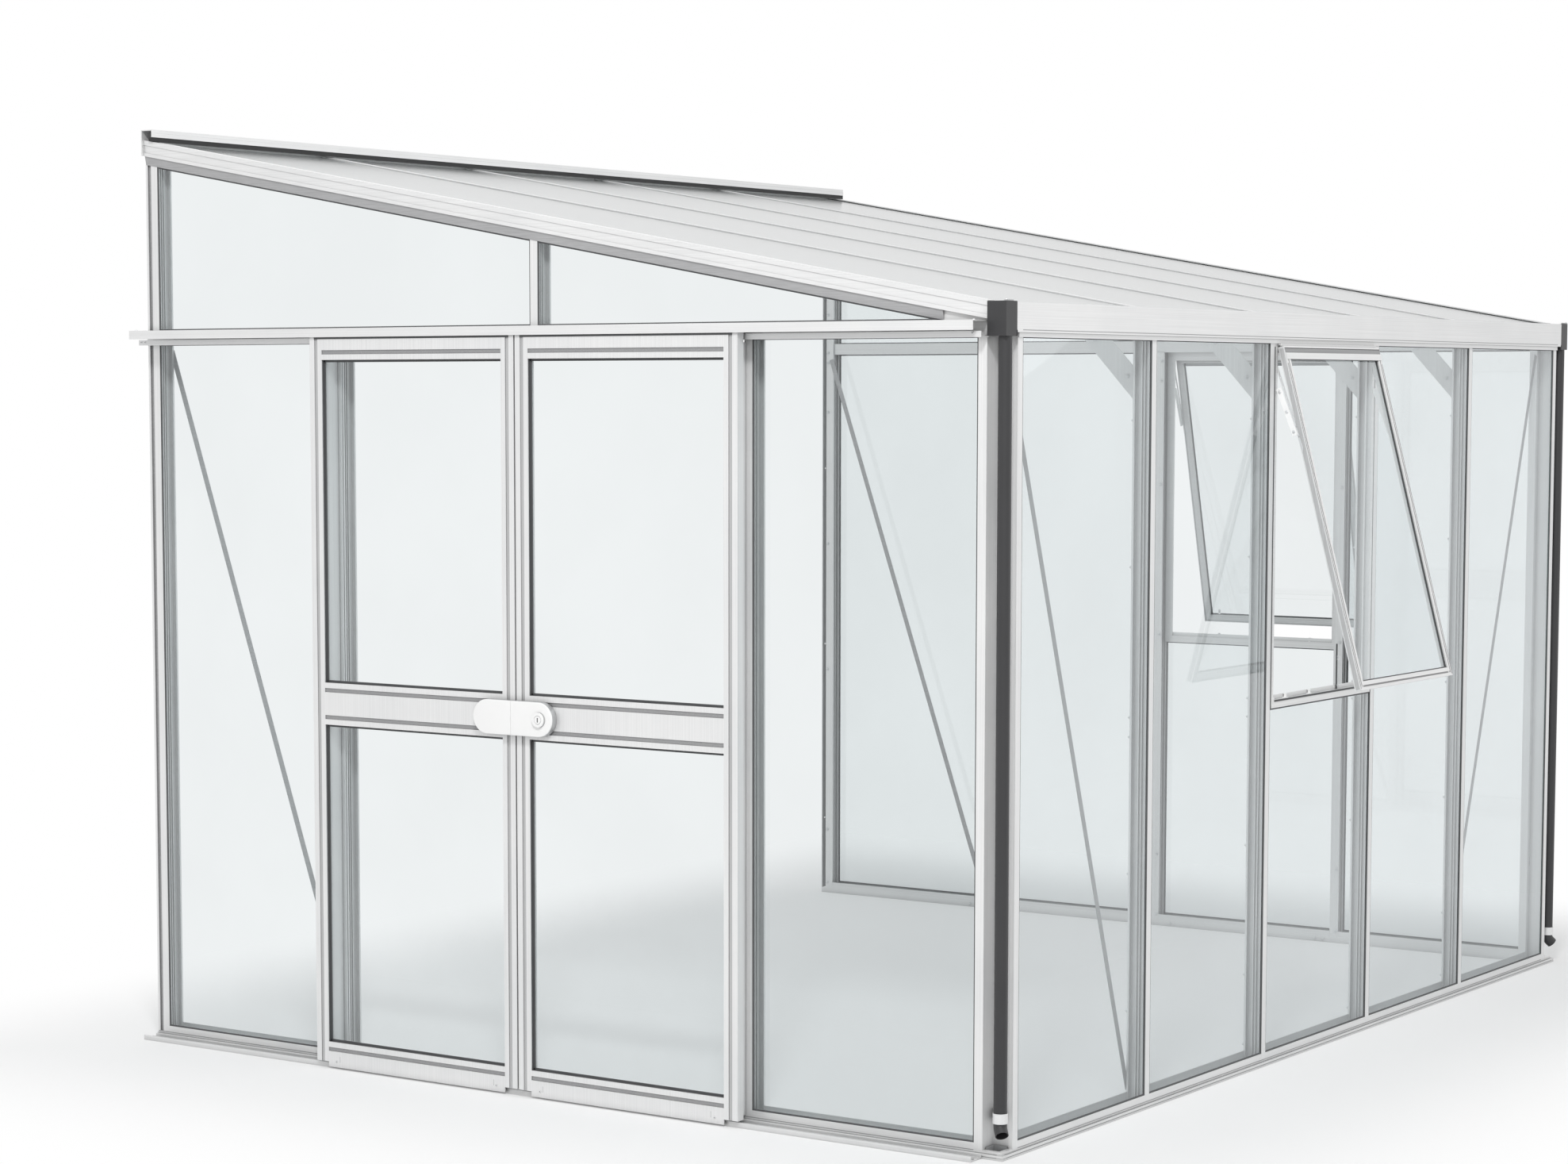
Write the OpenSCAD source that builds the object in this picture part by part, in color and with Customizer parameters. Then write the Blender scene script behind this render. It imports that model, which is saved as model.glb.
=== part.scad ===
/* [Plan] */
// Centre-to-centre width of every glazing bay
bay_w = 735; // [700:5:760]
// Number of bays along the eaves side
front_bays = 5; // [5:1:8]
// Distance from the sill's edge back to the glazing bars' outer faces
recess = 9; // [8:1:12]
// Width and depth of the open notch at each eaves corner
notch_w = 58; // [54:1:66]
// Gap between the wall-side glazing line and the house wall
wall_gap = 35; // [32:1:45]

/* [Heights] */
// Top of the frame under the eaves beam and the transoms
frame_top = 2150; // [2100:10:2250]
// Height of the gutter's front edge
gutter_top = 2238; // [2234:1:2244]
// Top of the roof sheets above the sill's outer edge
roof_z0 = 2226; // [2224:1:2230]
// Slope of the roof
roof_pitch = 10; // [8:1:14]
// Height of the ground sill
sill_h = 20; // [18:1:24]

/* [Glazing bars] */
// Width of a bar's outer face
face_w = 26; // [24:1:30]
// Depth of a bar from its outer face to its inner flange
bar_d = 58; // [52:1:60]
// Wall of the aluminium sections
wall = 3; // [2:0.5:3]
// Width of a bar's inner flange
flange_w = 32; // [28:1:40]
// Thickness of the glass
glass_t = 4; // [3:0.5:4]
// Gap kept round glass and between pieces that only rest on each other
slip = 0.3; // [0.2:0.1:0.5]

/* [Roof] */
// Thickness of the roof sheets
sheet_t = 10; // [8:1:12]
// Width of a rafter's cover strip
cover_w = 28; // [24:1:32]
// Depth of the gutter trough from front to back
gutter_d = 52; // [48:1:54]
// Width of a black end hopper
hopper_w = 59; // [56:1:60]
// Outer diameter of the downpipes
pipe_od = 36; // [32:1:40]

/* [Sliding doors] */
// Outer face of the leaves in front of the sill's edge
leaf_out = 66; // [62:1:74]
// Thickness of a leaf
leaf_t = 28; // [24:1:28]
// Width of a leaf
leaf_w = 762; // [750:1:770]
// Height of the leaves' lower edge above the floor
leaf_z = 5; // [5:1:8]
// Top edge of the leaves
leaf_top = 2175; // [2172:1:2178]
// Width of a stile
stile_w = 46; // [44:1:54]
// Gap between the two closed leaves
meet_gap = 5; // [5:1:8]
// Radius of the hanger wheels
wheel_r = 11; // [9:1:12]
// Height of the middle rail's centre
mid_rail_z = 1090; // [1000:5:1150]
// Reach of the handle in front of the leaves
handle_out = 30; // [26:1:40]

/* [Windows] */
// Length of a window sash from its hinge to its lower edge
sash_len = 1038; // [900:2:1060]
// Thickness of a sash
sash_t = 20; // [18:1:24]
// Angle at which the sashes stand open
sash_open = 14.7; // [5:0.1:20]

/* [Hidden] */
$fn = 48;
eps = 1;
room = 60;

side_bays = 4;
// Lines on which the glazing bars are centred
first_line = recess + notch_w + face_w / 2;
long_l = 2 * first_line + front_bays * bay_w;
wall_line = first_line + side_bays * bay_w;
wall_y = wall_line + wall_gap;
corner_in = recess + notch_w;
function x_line(i) = first_line + i * bay_w;
function y_line(i) = first_line + i * bay_w;

// Where the glass lies behind a bar's outer face
lip_t = wall;
pane_in = recess + lip_t + slip;
seat_in = lip_t + 2 * slip + glass_t;
seat_w = face_w - 2;

// Roof plane in its own slope frame
roof_rise = tan(roof_pitch);
function roof_z(y) = roof_z0 + roof_rise * y;
slope_l = wall_y / cos(roof_pitch);
verge_drop = 41;
verge_w = 36;
verge_bead = 26;
beam_h = 10;
beam_top = frame_top + beam_h;
beam_back = corner_in;
rafter_in = corner_in - 4;
rafter_d = (roof_z(rafter_in) - beam_top) * cos(roof_pitch);
seat_drop = sheet_t + slip;

// Eaves
gutter_z = beam_top;
hopper_out = 8.5;
hopper_t = 3;
hopper_gap = 2;
gutter_x0 = hopper_w - hopper_t - hopper_out + slip;
pipe_x = 18;
pipe_y = 18;

// Door line
door_mid = first_line + side_bays / 2 * bay_w + 13;
leaf_x = -leaf_out;
hood_gap = 7;
header_x = leaf_x - hood_gap;
header_lip_z = frame_top + 15;
header_top = frame_top + 42;
header_y0 = hopper_w + hopper_gap;
guide_y0 = header_y0 + 3;
track_x = leaf_x + leaf_t + hood_gap;
wheel_x = track_x + 4;
wheel_w = 8;
track_rib_h = 7;
wheel_z = frame_top + wall + track_rib_h + slip + wheel_r;
guide_x = 11 - leaf_out;
leaf_h = leaf_top - leaf_z;
lip_h = 16;
groove_h = 12;
groove_deep = 3;
lip_w = 18;
plate_drop = 15;
guide_h = leaf_z + plate_drop - 5;
mid_rail_h = 124;
bottom_rail_h = 75;
top_rail_h = 76;
runner_inset = 70;

// Windows
jamb_w = 21;
sash_w = bay_w - face_w - 2 * jamb_w;
sash_bar = 26;
hinge_z = frame_top - 14;
hinge_out = slip;
sash_reach = sash_len * sin(sash_open) + sash_t * cos(sash_open);
window_bay = 2;
rail_h = 32;
window_rail_top = hinge_z - sash_len + 4;

// The model's origin is under the middle of its box
knob_out = 3;
box_x0 = leaf_x - handle_out - knob_out;
box_x1 = long_l - recess + hinge_out + sash_reach;
box_y0 = recess - hinge_out - sash_reach;
box_y1 = wall_y;
origin_x = (box_x0 + box_x1) / 2;
origin_y = (box_y0 + box_y1) / 2;

alu = "silver";
alu_shade = "darkgray";
clear = [0.80, 0.88, 0.90, 0.35];
sheet_col = [0.93, 0.95, 0.95, 0.6];

module place() {
  translate([-origin_x, -origin_y, 0]) children();
}

module on_slope() {
  translate([0, 0, roof_z0]) rotate([roof_pitch, 0, 0]) children();
}

// Mirrors a piece of the near gable to the far gable
module far_side() {
  translate([long_l, 0, 0]) mirror([1, 0, 0]) children();
}

// Below the roof's underside at a given drop, for trimming upright pieces
module under_roof(drop) {
  on_slope() translate([-room, -room, -2 * frame_top - drop])
    cube([long_l + 2 * room, slope_l + 2 * room, 2 * frame_top]);
}

slot_in = 24;
slot_w = 14;
slot_d = 12;
slot_mouth = 7;
rib = 2;
flange_lip = 6;

// Open channel on both sides of a bar's web, for the heads of frame bolts
module bolt_slots() {
  difference() {
    translate([-slot_w / 2, slot_in]) square([slot_w, slot_d]);
    translate([-slot_w / 2 + rib, slot_in + rib]) square([slot_w - 2 * rib, slot_d - 2 * rib]);
    translate([-slot_w / 2 - eps, slot_in + (slot_d - slot_mouth) / 2])
      square([slot_w + 2 * eps, slot_mouth]);
  }
}

// Glazing bar section: the outer face on y = 0, the web running inwards
module bar_section() {
  translate([-face_w / 2, 0]) square([face_w, lip_t]);
  translate([-wall / 2, 0]) square([wall, bar_d]);
  for (s = [-1, 1]) scale([s, 1]) {
    translate([0, seat_in]) square([seat_w / 2, rib]);
    translate([seat_w / 2 - rib, seat_in]) square([rib, 3 * rib]);
    translate([0, bar_d - wall]) square([flange_w / 2, wall]);
    translate([flange_w / 2 - rib, bar_d - flange_lip]) square([rib, flange_lip]);
  }
  bolt_slots();
}

// Upright bar in the eaves side
module front_bar(x, z0, z1) {
  translate([x, recess, z0]) linear_extrude(z1 - z0) bar_section();
}

// Upright bar in the near gable
module gable_bar(y, z0, z1) {
  translate([recess, y, z0]) linear_extrude(z1 - z0)
    rotate(-90) bar_section();
}

shelf_in = recess + 14;
edge_h = sill_h - 8;
rib_step = 2.2;

// Ground sill section, its ribbed outer edge on x = 0: a hollow shelf for the panes and an open
// channel behind it
module sill_section() {
  difference() {
    polygon([[0, 0], [corner_in, 0], [corner_in, sill_h], [recess, sill_h],
             [recess, edge_h + 4], [0, edge_h]]);
    translate([shelf_in, wall]) square([corner_in - wall - shelf_in, sill_h]);
    polygon([[wall, wall], [shelf_in - wall, wall], [shelf_in - wall, sill_h - wall],
             [recess + wall, sill_h - wall], [recess + wall, edge_h + 4 - wall], [wall, edge_h - wall]]);
    for (k = [1 : 3]) translate([k * rib_step, edge_h + k * rib_step * 4 / recess - 1]) square([1, 3]);
    translate([-eps, edge_h / 2 - 1]) square([eps + 1.2, 2]);
  }
}

anchor_r = 4.5;
anchor_in = 45;

module anchor_hole() {
  translate([0, 0, -eps]) cylinder(r = anchor_r, h = sill_h + 2 * eps);
}

bead_h = 18;
kick_h = 22;

// The two strips along a pane's foot, from one bar to the next: a bead outside and a kick strip inside
module pane_foot() {
  sunk = wall / 2;
  translate([face_w / 2, recess, sill_h - sunk]) cube([bay_w - face_w, lip_t, bead_h + sunk]);
  translate([flange_w / 2 + slip, corner_in - wall, sill_h - sunk])
    cube([bay_w - flange_w - 2 * slip, wall, kick_h + sunk]);
}

mitre_l = 3 * corner_in;

module sill_front() {
  color(alu) place() {
    difference() {
      rotate([90, 0, 90]) linear_extrude(long_l) sill_section();
      for (e = [0, 1]) translate([e * long_l, 0, 0]) mirror([e, 0, 0])
        rotate(45) translate([0, 0, -eps]) cube([mitre_l, mitre_l, sill_h + 2 * eps]);
      for (i = [0, front_bays - 1]) translate([x_line(i + 0.5), anchor_in, 0]) anchor_hole();
    }
    for (i = [0 : front_bays - 1]) translate([x_line(i), 0, 0]) pane_foot();
  }
}

module gable_sill(bays) {
  difference() {
    translate([0, wall_y, 0]) rotate([90, 0, 0]) linear_extrude(wall_y) sill_section();
    rotate(45) translate([0, -mitre_l, -eps]) cube([mitre_l, mitre_l, sill_h + 2 * eps]);
    for (i = [0, side_bays - 1]) translate([anchor_in, y_line(i + 0.5), 0]) anchor_hole();
  }
  for (i = bays) translate([0, y_line(i), 0]) mirror([1, -1, 0]) pane_foot();
}

module sill_near() { color(alu) place() gable_sill([0, side_bays - 1]); }
module sill_far() { color(alu) place() far_side() gable_sill([0 : side_bays - 1]); }

plate_t = 2;
plate_h = 23;
screw_r = 3;

// Angle standing in the open notch, over the ends of the sills' channels
module corner_plate() {
  w = corner_in - wall - slip - shelf_in - slip;
  translate([shelf_in + slip, shelf_in + slip, wall + slip]) difference() {
    cube([w, w, plate_h]);
    translate([-eps, -eps, plate_t]) cube([w - plate_t + eps, w - plate_t + eps, plate_h]);
    translate([w / 2, w / 2, -eps]) cylinder(r = screw_r, h = plate_t + 2 * eps);
  }
}

module corner_plates() {
  color(alu_shade) place() {
    corner_plate();
    far_side() corner_plate();
  }
}

tube_w = 27;

// Re-entrant corner post: two glazing faces with the notch between them
module corner_section() {
  translate([recess, corner_in]) square([lip_t, face_w]);
  translate([corner_in, recess]) square([face_w, lip_t]);
  translate([recess, corner_in]) square([notch_w + wall, wall]);
  translate([corner_in, recess]) square([wall, notch_w + wall]);
  translate([recess + seat_in, corner_in]) square([2, face_w - 1]);
  translate([corner_in, recess + seat_in]) square([face_w - 1, 2]);
  translate([corner_in, corner_in]) difference() {
    square([tube_w, tube_w]);
    translate([wall, wall]) square([tube_w - 2 * wall, tube_w - 2 * wall]);
  }
}

module corner_post() {
  translate([0, 0, sill_h]) linear_extrude(frame_top - sill_h) corner_section();
}

module corner_post_near() { color(alu) place() corner_post(); }
module corner_post_far() { color(alu) place() far_side() corner_post(); }

edge_w = 8;
fix_r = 4;
fix_z = [300, 1000, 1700, 2400];
fix_in = 40;

// Room for the strip that hangs under the verge in front of the panes
module bead_room() {
  on_slope() translate([-eps, 0, -verge_drop - verge_bead - slip])
    cube([recess + lip_t + slip + eps, slope_l + room, verge_bead + slip]);
}

module wall_post() {
  difference() {
    intersection() {
      union() {
        gable_bar(wall_line, sill_h, roof_z(wall_y));
        translate([recess + 6, wall_line, sill_h]) cube([wall, wall_gap, roof_z(wall_y) - sill_h]);
        translate([recess, wall_y - wall, sill_h]) cube([bar_d, wall, roof_z(wall_y) - sill_h]);
        translate([recess, wall_y - edge_w, sill_h]) cube([wall, edge_w, roof_z(wall_y) - sill_h]);
      }
      under_roof(verge_drop);
    }
    bead_room();
    for (z = fix_z) translate([recess + fix_in, wall_y + eps, z])
      rotate([90, 0, 0]) cylinder(r = fix_r, h = wall + 2 * eps);
  }
}

module wall_post_near() { color(alu) place() wall_post(); }
module wall_post_far() { color(alu) place() far_side() wall_post(); }

module front_posts() {
  color(alu) place()
    for (i = [1 : front_bays - 1]) front_bar(x_line(i), sill_h, frame_top);
}

module door_posts() {
  color(alu) place()
    for (i = [1, side_bays - 1]) gable_bar(y_line(i), sill_h, frame_top);
}

module gable_posts_far() {
  color(alu) place() far_side()
    for (i = [1 : side_bays - 1]) gable_bar(y_line(i), sill_h, frame_top);
}

module gable_mullion() {
  difference() {
    intersection() {
      gable_bar(y_line(side_bays / 2), header_top, roof_z(wall_y));
      under_roof(verge_drop);
    }
    bead_room();
  }
}

module gable_mullions() {
  color(alu) place() {
    gable_mullion();
    far_side() gable_mullion();
  }
}

// Cross rail of a gable between the glass below and the glass above it
module transom() {
  end = wall_line - face_w / 2 - slip;
  deep = bar_d - flange_lip - slip;
  high = header_top - frame_top;
  translate([recess, end, frame_top]) rotate([90, 0, 0]) linear_extrude(end - corner_in) {
    difference() {
      square([deep, high]);
      translate([wall, wall]) square([deep - 2 * wall, high - 2 * wall]);
    }
    translate([wall, high / 2 - rib]) square([deep - 2 * wall, rib]);
  }
}

module transom_near() { color(alu_shade) place() transom(); }
module transom_far() { color(alu_shade) place() far_side() transom(); }

web_low = 3;
drip = 4;

// Hood and track over the sliding doors: sloping cover with a front lip, web on the posts, wheel track
module header_section() {
  polygon([[header_x, header_top - wall - 1], [recess, header_top - wall], [recess, header_top],
           [header_x, header_top - 1]]);
  translate([header_x, header_lip_z]) square([rib, header_top - 1 - header_lip_z]);
  translate([recess - wall, frame_top - web_low]) square([wall, header_top - frame_top + web_low]);
  translate([track_x, frame_top]) square([recess - track_x, wall]);
  translate([track_x, frame_top - web_low]) square([rib, header_lip_z - frame_top + web_low - rib]);
  translate([wheel_x + wheel_w / 2 - 1, frame_top]) square([2, wall + track_rib_h]);
}

module door_header() {
  color(alu) place() translate([0, wall_y, 0]) rotate([90, 0, 0])
    linear_extrude(wall_y - header_y0) header_section();
}

// Ground guide of the doors: ribbed tread plate with the leaves' guide rib at its outer edge
module guide_section() {
  translate([guide_x, 0]) square([-guide_x, wall]);
  translate([guide_x, 0]) square([wall, guide_h]);
  translate([-wall, 0]) square([wall, edge_h - 1]);
  for (k = [1, 2]) translate([guide_x * k / 3, 0]) square([wall, wall + drip]);
}

module door_guide_rail() {
  color(alu) place() translate([0, wall_y, 0]) rotate([90, 0, 0])
    linear_extrude(wall_y - guide_y0) guide_section();
}

beam_up = 30;
beam_lip = 4;

// Beam along the eaves: it caps the front panes, carries the rafters and has a drip lip in front
module eaves_beam() {
  color(alu) place() translate([corner_in, 0, frame_top]) rotate([90, 0, 90])
    linear_extrude(long_l - 2 * corner_in) {
      translate([recess - beam_lip, 0]) square([corner_in - recess + beam_lip, beam_h]);
      translate([recess - beam_lip, -rib]) square([rib, beam_h + rib]);
      translate([corner_in - 8, 0]) square([wall, beam_h + beam_up]);
    }
}

back_drop = 26;

// Box gutter with a folded front edge and a lower back wall
module gutter_section() {
  high = gutter_top - gutter_z;
  square([wall, high]);
  square([gutter_d, wall]);
  translate([gutter_d - wall, 0]) square([wall, high - back_drop]);
  translate([0, high - rib]) square([edge_w, rib]);
  translate([edge_w - rib, high - edge_w]) square([rib, edge_w]);
  translate([gutter_d - wall - drip, high - back_drop - rib]) square([wall + drip, rib]);
}

module gutter() {
  color(alu) place() translate([gutter_x0, 0, gutter_z + slip]) rotate([90, 0, 90])
    linear_extrude(long_l - 2 * gutter_x0) gutter_section();
}

hopper_z0 = frame_top;

module hopper() {
  translate([-hopper_out, 0, hopper_z0]) difference() {
    cube([hopper_w - hopper_t, hopper_w - hopper_gap, gutter_top - hopper_z0 + 2]);
    translate([hopper_t, hopper_t, hopper_t])
      cube([hopper_w, hopper_w - hopper_gap - 2 * hopper_t, gutter_top - hopper_z0]);
    translate([pipe_x + hopper_out, pipe_y, -eps])
      cylinder(r = pipe_od / 2 - 4, h = hopper_t + 2 * eps);
  }
}

module hoppers() {
  color("black") place() {
    hopper();
    far_side() hopper();
  }
}

bend_r = 22;
bend_z = 94;
bend_a = 45;
spout_l = 16;
spout_dir = 225;
pipe_wall = 2;

module tube(h) {
  difference() {
    cylinder(d = pipe_od, h = h);
    translate([0, 0, -eps]) cylinder(d = pipe_od - 2 * pipe_wall, h = h + 2 * eps);
  }
}

module bend(d) {
  translate([bend_r, 0, 0]) rotate([90, 0, 0]) rotate(180)
    rotate_extrude(angle = bend_a) translate([bend_r, 0]) circle(d = d);
}

// Upright tube, bend and spout, each seated on the next
module downpipe() {
  translate([pipe_x, pipe_y, bend_z]) rotate(spout_dir) {
    tube(hopper_z0 - slip - bend_z);
    translate([0, 0, -slip]) difference() {
      bend(pipe_od);
      bend(pipe_od - 2 * pipe_wall);
    }
    translate([bend_r * (1 - cos(bend_a)), 0, -slip - bend_r * sin(bend_a)])
      rotate([0, 180 - bend_a, 0]) translate([0, 0, slip]) tube(spout_l);
  }
}

module downpipes() {
  color("black") place() {
    downpipe();
    far_side() downpipe();
  }
}

clip_z = 97;
clip_h = 27;
clip_t = 2;
arm_in = pipe_od / 2 + slip + clip_t / 2;

module pipe_clip() {
  translate([pipe_x, pipe_y, clip_z]) linear_extrude(clip_h) difference() {
    union() {
      circle(d = pipe_od + 2 * (slip + clip_t));
      rotate(45) translate([arm_in, -4])
        square([(corner_in - pipe_y) * sqrt(2) - 4 - slip - arm_in, 8]);
    }
    circle(d = pipe_od + 2 * slip);
  }
}

module pipe_clips() {
  color(alu) place() {
    pipe_clip();
    far_side() pipe_clip();
  }
}

band_low = 10;
band_high = 33;
band_out = 2.5;
cap_up = 6;
hook_in = 24;
verge_out = 8;

// Sloping edge section of the roof, outer face at the left: lower lip, face, cap over the sheets,
// box on the gable's top and the strip in front of the panes
module verge_section() {
  x0 = recess - verge_out;
  x1 = recess + bar_d;
  translate([x0, -verge_drop]) square([wall, verge_drop + cap_up]);
  translate([x0 - band_out, -verge_drop]) square([band_out + eps, band_low]);
  translate([x0 - band_out, band_high - verge_drop]) square([band_out + eps, cap_up + verge_drop - band_high]);
  translate([x0 - band_out, cap_up - wall]) square([verge_w, wall]);
  translate([x0, -seat_drop - wall]) square([verge_w, wall]);
  translate([x0, -verge_drop]) square([x1 - x0, wall]);
  translate([recess + hook_in, -verge_drop]) square([wall, verge_drop - seat_drop]);
  translate([recess, -verge_drop - verge_bead]) square([lip_t, verge_bead + wall]);
}

module verge() {
  y0 = hopper_w;
  difference() {
    intersection() {
      on_slope() translate([0, slope_l + room, 0]) rotate([90, 0, 0])
        linear_extrude(slope_l + room) verge_section();
      translate([-room, y0, frame_top]) cube([3 * room, wall_y - y0 - wall - slip, frame_top]);
    }
    translate([-room, 0, 0]) cube([3 * room, wall_y, header_top + slip]);
  }
}

module verge_near() { color(alu) place() verge(); }
module verge_far() { color(alu) place() far_side() verge(); }

// Roof bar section: cover strip with two downturned edges, web, seat for the sheets and lower flange
module rafter_section() {
  translate([-wall / 2, -rafter_d]) square([wall, rafter_d + wall]);
  for (s = [-1, 1]) scale([s, 1]) {
    translate([0, slip + 1]) square([cover_w / 2, rib]);
    translate([cover_w / 2 - rib, slip]) square([rib, rib]);
    translate([0, -seat_drop - rib]) square([seat_w / 2, rib]);
    translate([seat_w / 2 - rib, -seat_drop - 3 * rib]) square([rib, 3 * rib]);
    translate([0, -rafter_d]) square([flange_w / 2, wall]);
  }
}

module rafters() {
  color(alu) place() intersection() {
    on_slope() for (i = [1 : front_bays - 1])
      translate([x_line(i), slope_l + room, 0]) rotate([90, 0, 0])
        linear_extrude(slope_l + room) rafter_section();
    translate([0, rafter_in, frame_top])
      cube([long_l, wall_y - wall - slip - rafter_in, frame_top]);
  }
}

sheet_y0 = gutter_d - 6;
sheet_y1 = wall_y - 26;

module hopper_room() {
  translate([-room, -eps, frame_top]) cube([room + hopper_w - hopper_out, hopper_w + eps, frame_top]);
}

module roof_sheets() {
  color(sheet_col) place() difference() {
    sheets();
    hopper_room();
    far_side() hopper_room();
  }
}

module sheets() {
  intersection() {
    on_slope() for (i = [0 : front_bays - 1]) {
      x0 = i == 0 ? recess + slip : x_line(i) + wall / 2 + slip;
      x1 = i == front_bays - 1 ? long_l - recess - slip : x_line(i + 1) - wall / 2 - slip;
      translate([x0, 0, -sheet_t]) cube([x1 - x0, slope_l, sheet_t]);
    }
    translate([0, sheet_y0, frame_top]) cube([long_l, sheet_y1 - sheet_y0, frame_top]);
  }
}

rail_front = 45;
rail_top = 36;
rail_lip = 23;
rail_out = 9;
rail_z0 = roof_z(wall_y) - verge_drop / cos(roof_pitch) + slip;
rail_z1 = roof_z(wall_y) + rail_top;
rail_y0 = wall_y - rail_front;
fix_up = 20;

// Ridge rail on the house wall, over the upper edge of the roof, with a stepped front lip
module wall_rail() {
  color(alu) place() difference() {
    translate([-rail_out, 0, 0]) rotate([90, 0, 90]) linear_extrude(long_l + 2 * rail_out) {
      translate([wall_y - wall, rail_z0]) square([wall, rail_z1 - rail_z0]);
      translate([rail_y0, rail_z1 - wall]) square([rail_front, wall]);
      translate([rail_y0, rail_z1 - rail_lip]) square([rib, rail_lip]);
      translate([rail_y0 - 1.5, rail_z1 - rail_lip]) square([1.5 + rib / 2, rail_lip / 2]);
    }
    for (i = [0, front_bays - 1]) translate([x_line(i + 0.5), wall_y + eps, roof_z(wall_y) + fix_up])
      rotate([90, 0, 0]) cylinder(r = fix_r, h = wall + 2 * eps);
  }
}

seal_in = 12;
seal_up = 7;

module wall_seal() {
  y0 = rail_y0 + slip;
  y1 = y0 + seal_in;
  z1 = rail_z1 - rail_lip;
  color("black") place() translate([-rail_out, 0, 0]) rotate([90, 0, 90])
    linear_extrude(long_l + 2 * rail_out)
      polygon([[y0, z1], [y1, z1], [y1, roof_z(y1) + seal_up], [y0, roof_z(y0) + seal_up]]);
}

knee_z = 1890;
knee_w = 20;
knee_t = 3;
knee_foot = 34;

// Underside of the rafters at a given distance from the eaves
function rafter_low(y) = roof_z(y) - rafter_d / cos(roof_pitch);

// Flat brace from a post's inner flange up to the rafter over it, with a bent foot at each end
module knee_brace() {
  y0 = recess + bar_d + slip;
  z0 = knee_z + knee_foot;
  run = (rafter_low(y0) - z0) / (1 - roof_rise) - 4;
  y1 = y0 + run;
  z1 = rafter_low(y1) - slip;
  rotate([90, 0, 90]) linear_extrude(knee_w)
    polygon([[y0, knee_z], [y0 + knee_t, knee_z], [y0 + knee_t, z0 - 1],
             [y1 + 2, z1 - knee_t - 1], [y1 + knee_foot, z1 - knee_t + roof_rise * knee_foot],
             [y1 + knee_foot, z1 + roof_rise * knee_foot], [y1, z1], [y0, z0 + 2]]);
}

module knee_braces() {
  color(alu_shade) place() for (i = [1 : front_bays - 1])
    translate([x_line(i) - knee_w / 2, 0, 0]) knee_brace();
}

strip_w = 18;

// Flat diagonal strip between two points of an upright plane
module strip(a, b) {
  d = b - a;
  translate(a) rotate(atan2(d[1], d[0])) translate([0, -strip_w / 2]) square([norm(d), strip_w]);
}

module wind_braces() {
  in_face = recess + bar_d + slip;
  lo = 50;
  hi = frame_top - 20;
  color(alu_shade) place() {
    for (s = [0, 1]) translate([s * long_l, 0, 0]) mirror([s, 0, 0]) {
      translate([in_face, 0, 0]) rotate([90, 0, 90]) linear_extrude(2)
        strip([wall_line - 8, hi], [y_line(side_bays - 1) + 8, lo]);
      translate([0, in_face + 2, 0]) rotate([90, 0, 0]) linear_extrude(2)
        strip([x_line(0) + 26, hi], [x_line(1) - 8, lo]);
    }
  }
}

pane_edge = 8;

// Pane in a gable bay, from bar i to bar j
module gable_pane(i, j, z0, z1) {
  y0 = y_line(i) + wall / 2 + slip;
  y1 = y_line(j) - wall / 2 - slip;
  translate([pane_in, y0 + (i == 0 ? pane_edge : 0), z0])
    cube([glass_t, y1 - y0 - (i == 0 ? pane_edge : 0), z1 - z0]);
}

module gable_top_panes() {
  intersection() {
    union() {
      gable_pane(0, side_bays / 2, header_top + slip, roof_z(wall_y));
      gable_pane(side_bays / 2, side_bays, header_top + slip, roof_z(wall_y));
    }
    under_roof(verge_drop + slip);
  }
}

pane_z0 = sill_h + slip;
pane_z1 = frame_top - slip;

module gable_glass_near() {
  color(clear) place() {
    for (i = [0, side_bays - 1]) gable_pane(i, i + 1, pane_z0, pane_z1);
    gable_top_panes();
  }
}

module gable_glass_far() {
  color(clear) place() far_side() {
    for (i = [0 : side_bays - 1])
      gable_pane(i, i + 1, pane_z0, i == window_bay - 1 ? window_rail_top - rail_h - slip : pane_z1);
    gable_top_panes();
  }
}

module front_glass() {
  color(clear) place() for (i = [0 : front_bays - 1]) {
    x0 = x_line(i) + wall / 2 + slip + (i == 0 ? pane_edge : 0);
    x1 = x_line(i + 1) - wall / 2 - slip - (i == front_bays - 1 ? pane_edge : 0);
    translate([x0, pane_in, pane_z0])
      cube([x1 - x0, glass_t, (i == window_bay ? window_rail_top - rail_h - slip : pane_z1) - pane_z0]);
  }
}

jamb_d = 20;
rebate = 8;
head_h = 16;
cap_gap = 6;
cap_d = 10;

// Fixed window frame in a bay that starts at the origin: rebated for the sash, with a cap over its hinge
module window_frame() {
  w = bay_w - face_w - 2 * slip;
  z0 = window_rail_top - rail_h;
  cap_z = hinge_z + cap_gap;
  translate([face_w / 2 + slip, recess, 0]) {
    difference() {
      translate([0, 0, z0]) cube([w, jamb_d, frame_top - slip - z0]);
      translate([jamb_w + rebate, -eps, window_rail_top - rebate])
        cube([w - 2 * jamb_w - 2 * rebate, jamb_d + 2 * eps, hinge_z - head_h - window_rail_top + rebate]);
      translate([jamb_w, -eps, window_rail_top])
        cube([w - 2 * jamb_w, jamb_d - rib - wall + eps, hinge_z - head_h - window_rail_top]);
    }
    translate([jamb_w, -cap_d, cap_z]) cube([w - 2 * jamb_w, cap_d, frame_top - rib - slip - cap_z]);
    translate([jamb_w, -cap_d, cap_z - rib]) cube([w - 2 * jamb_w, rib, 2 * rib]);
  }
}

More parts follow.
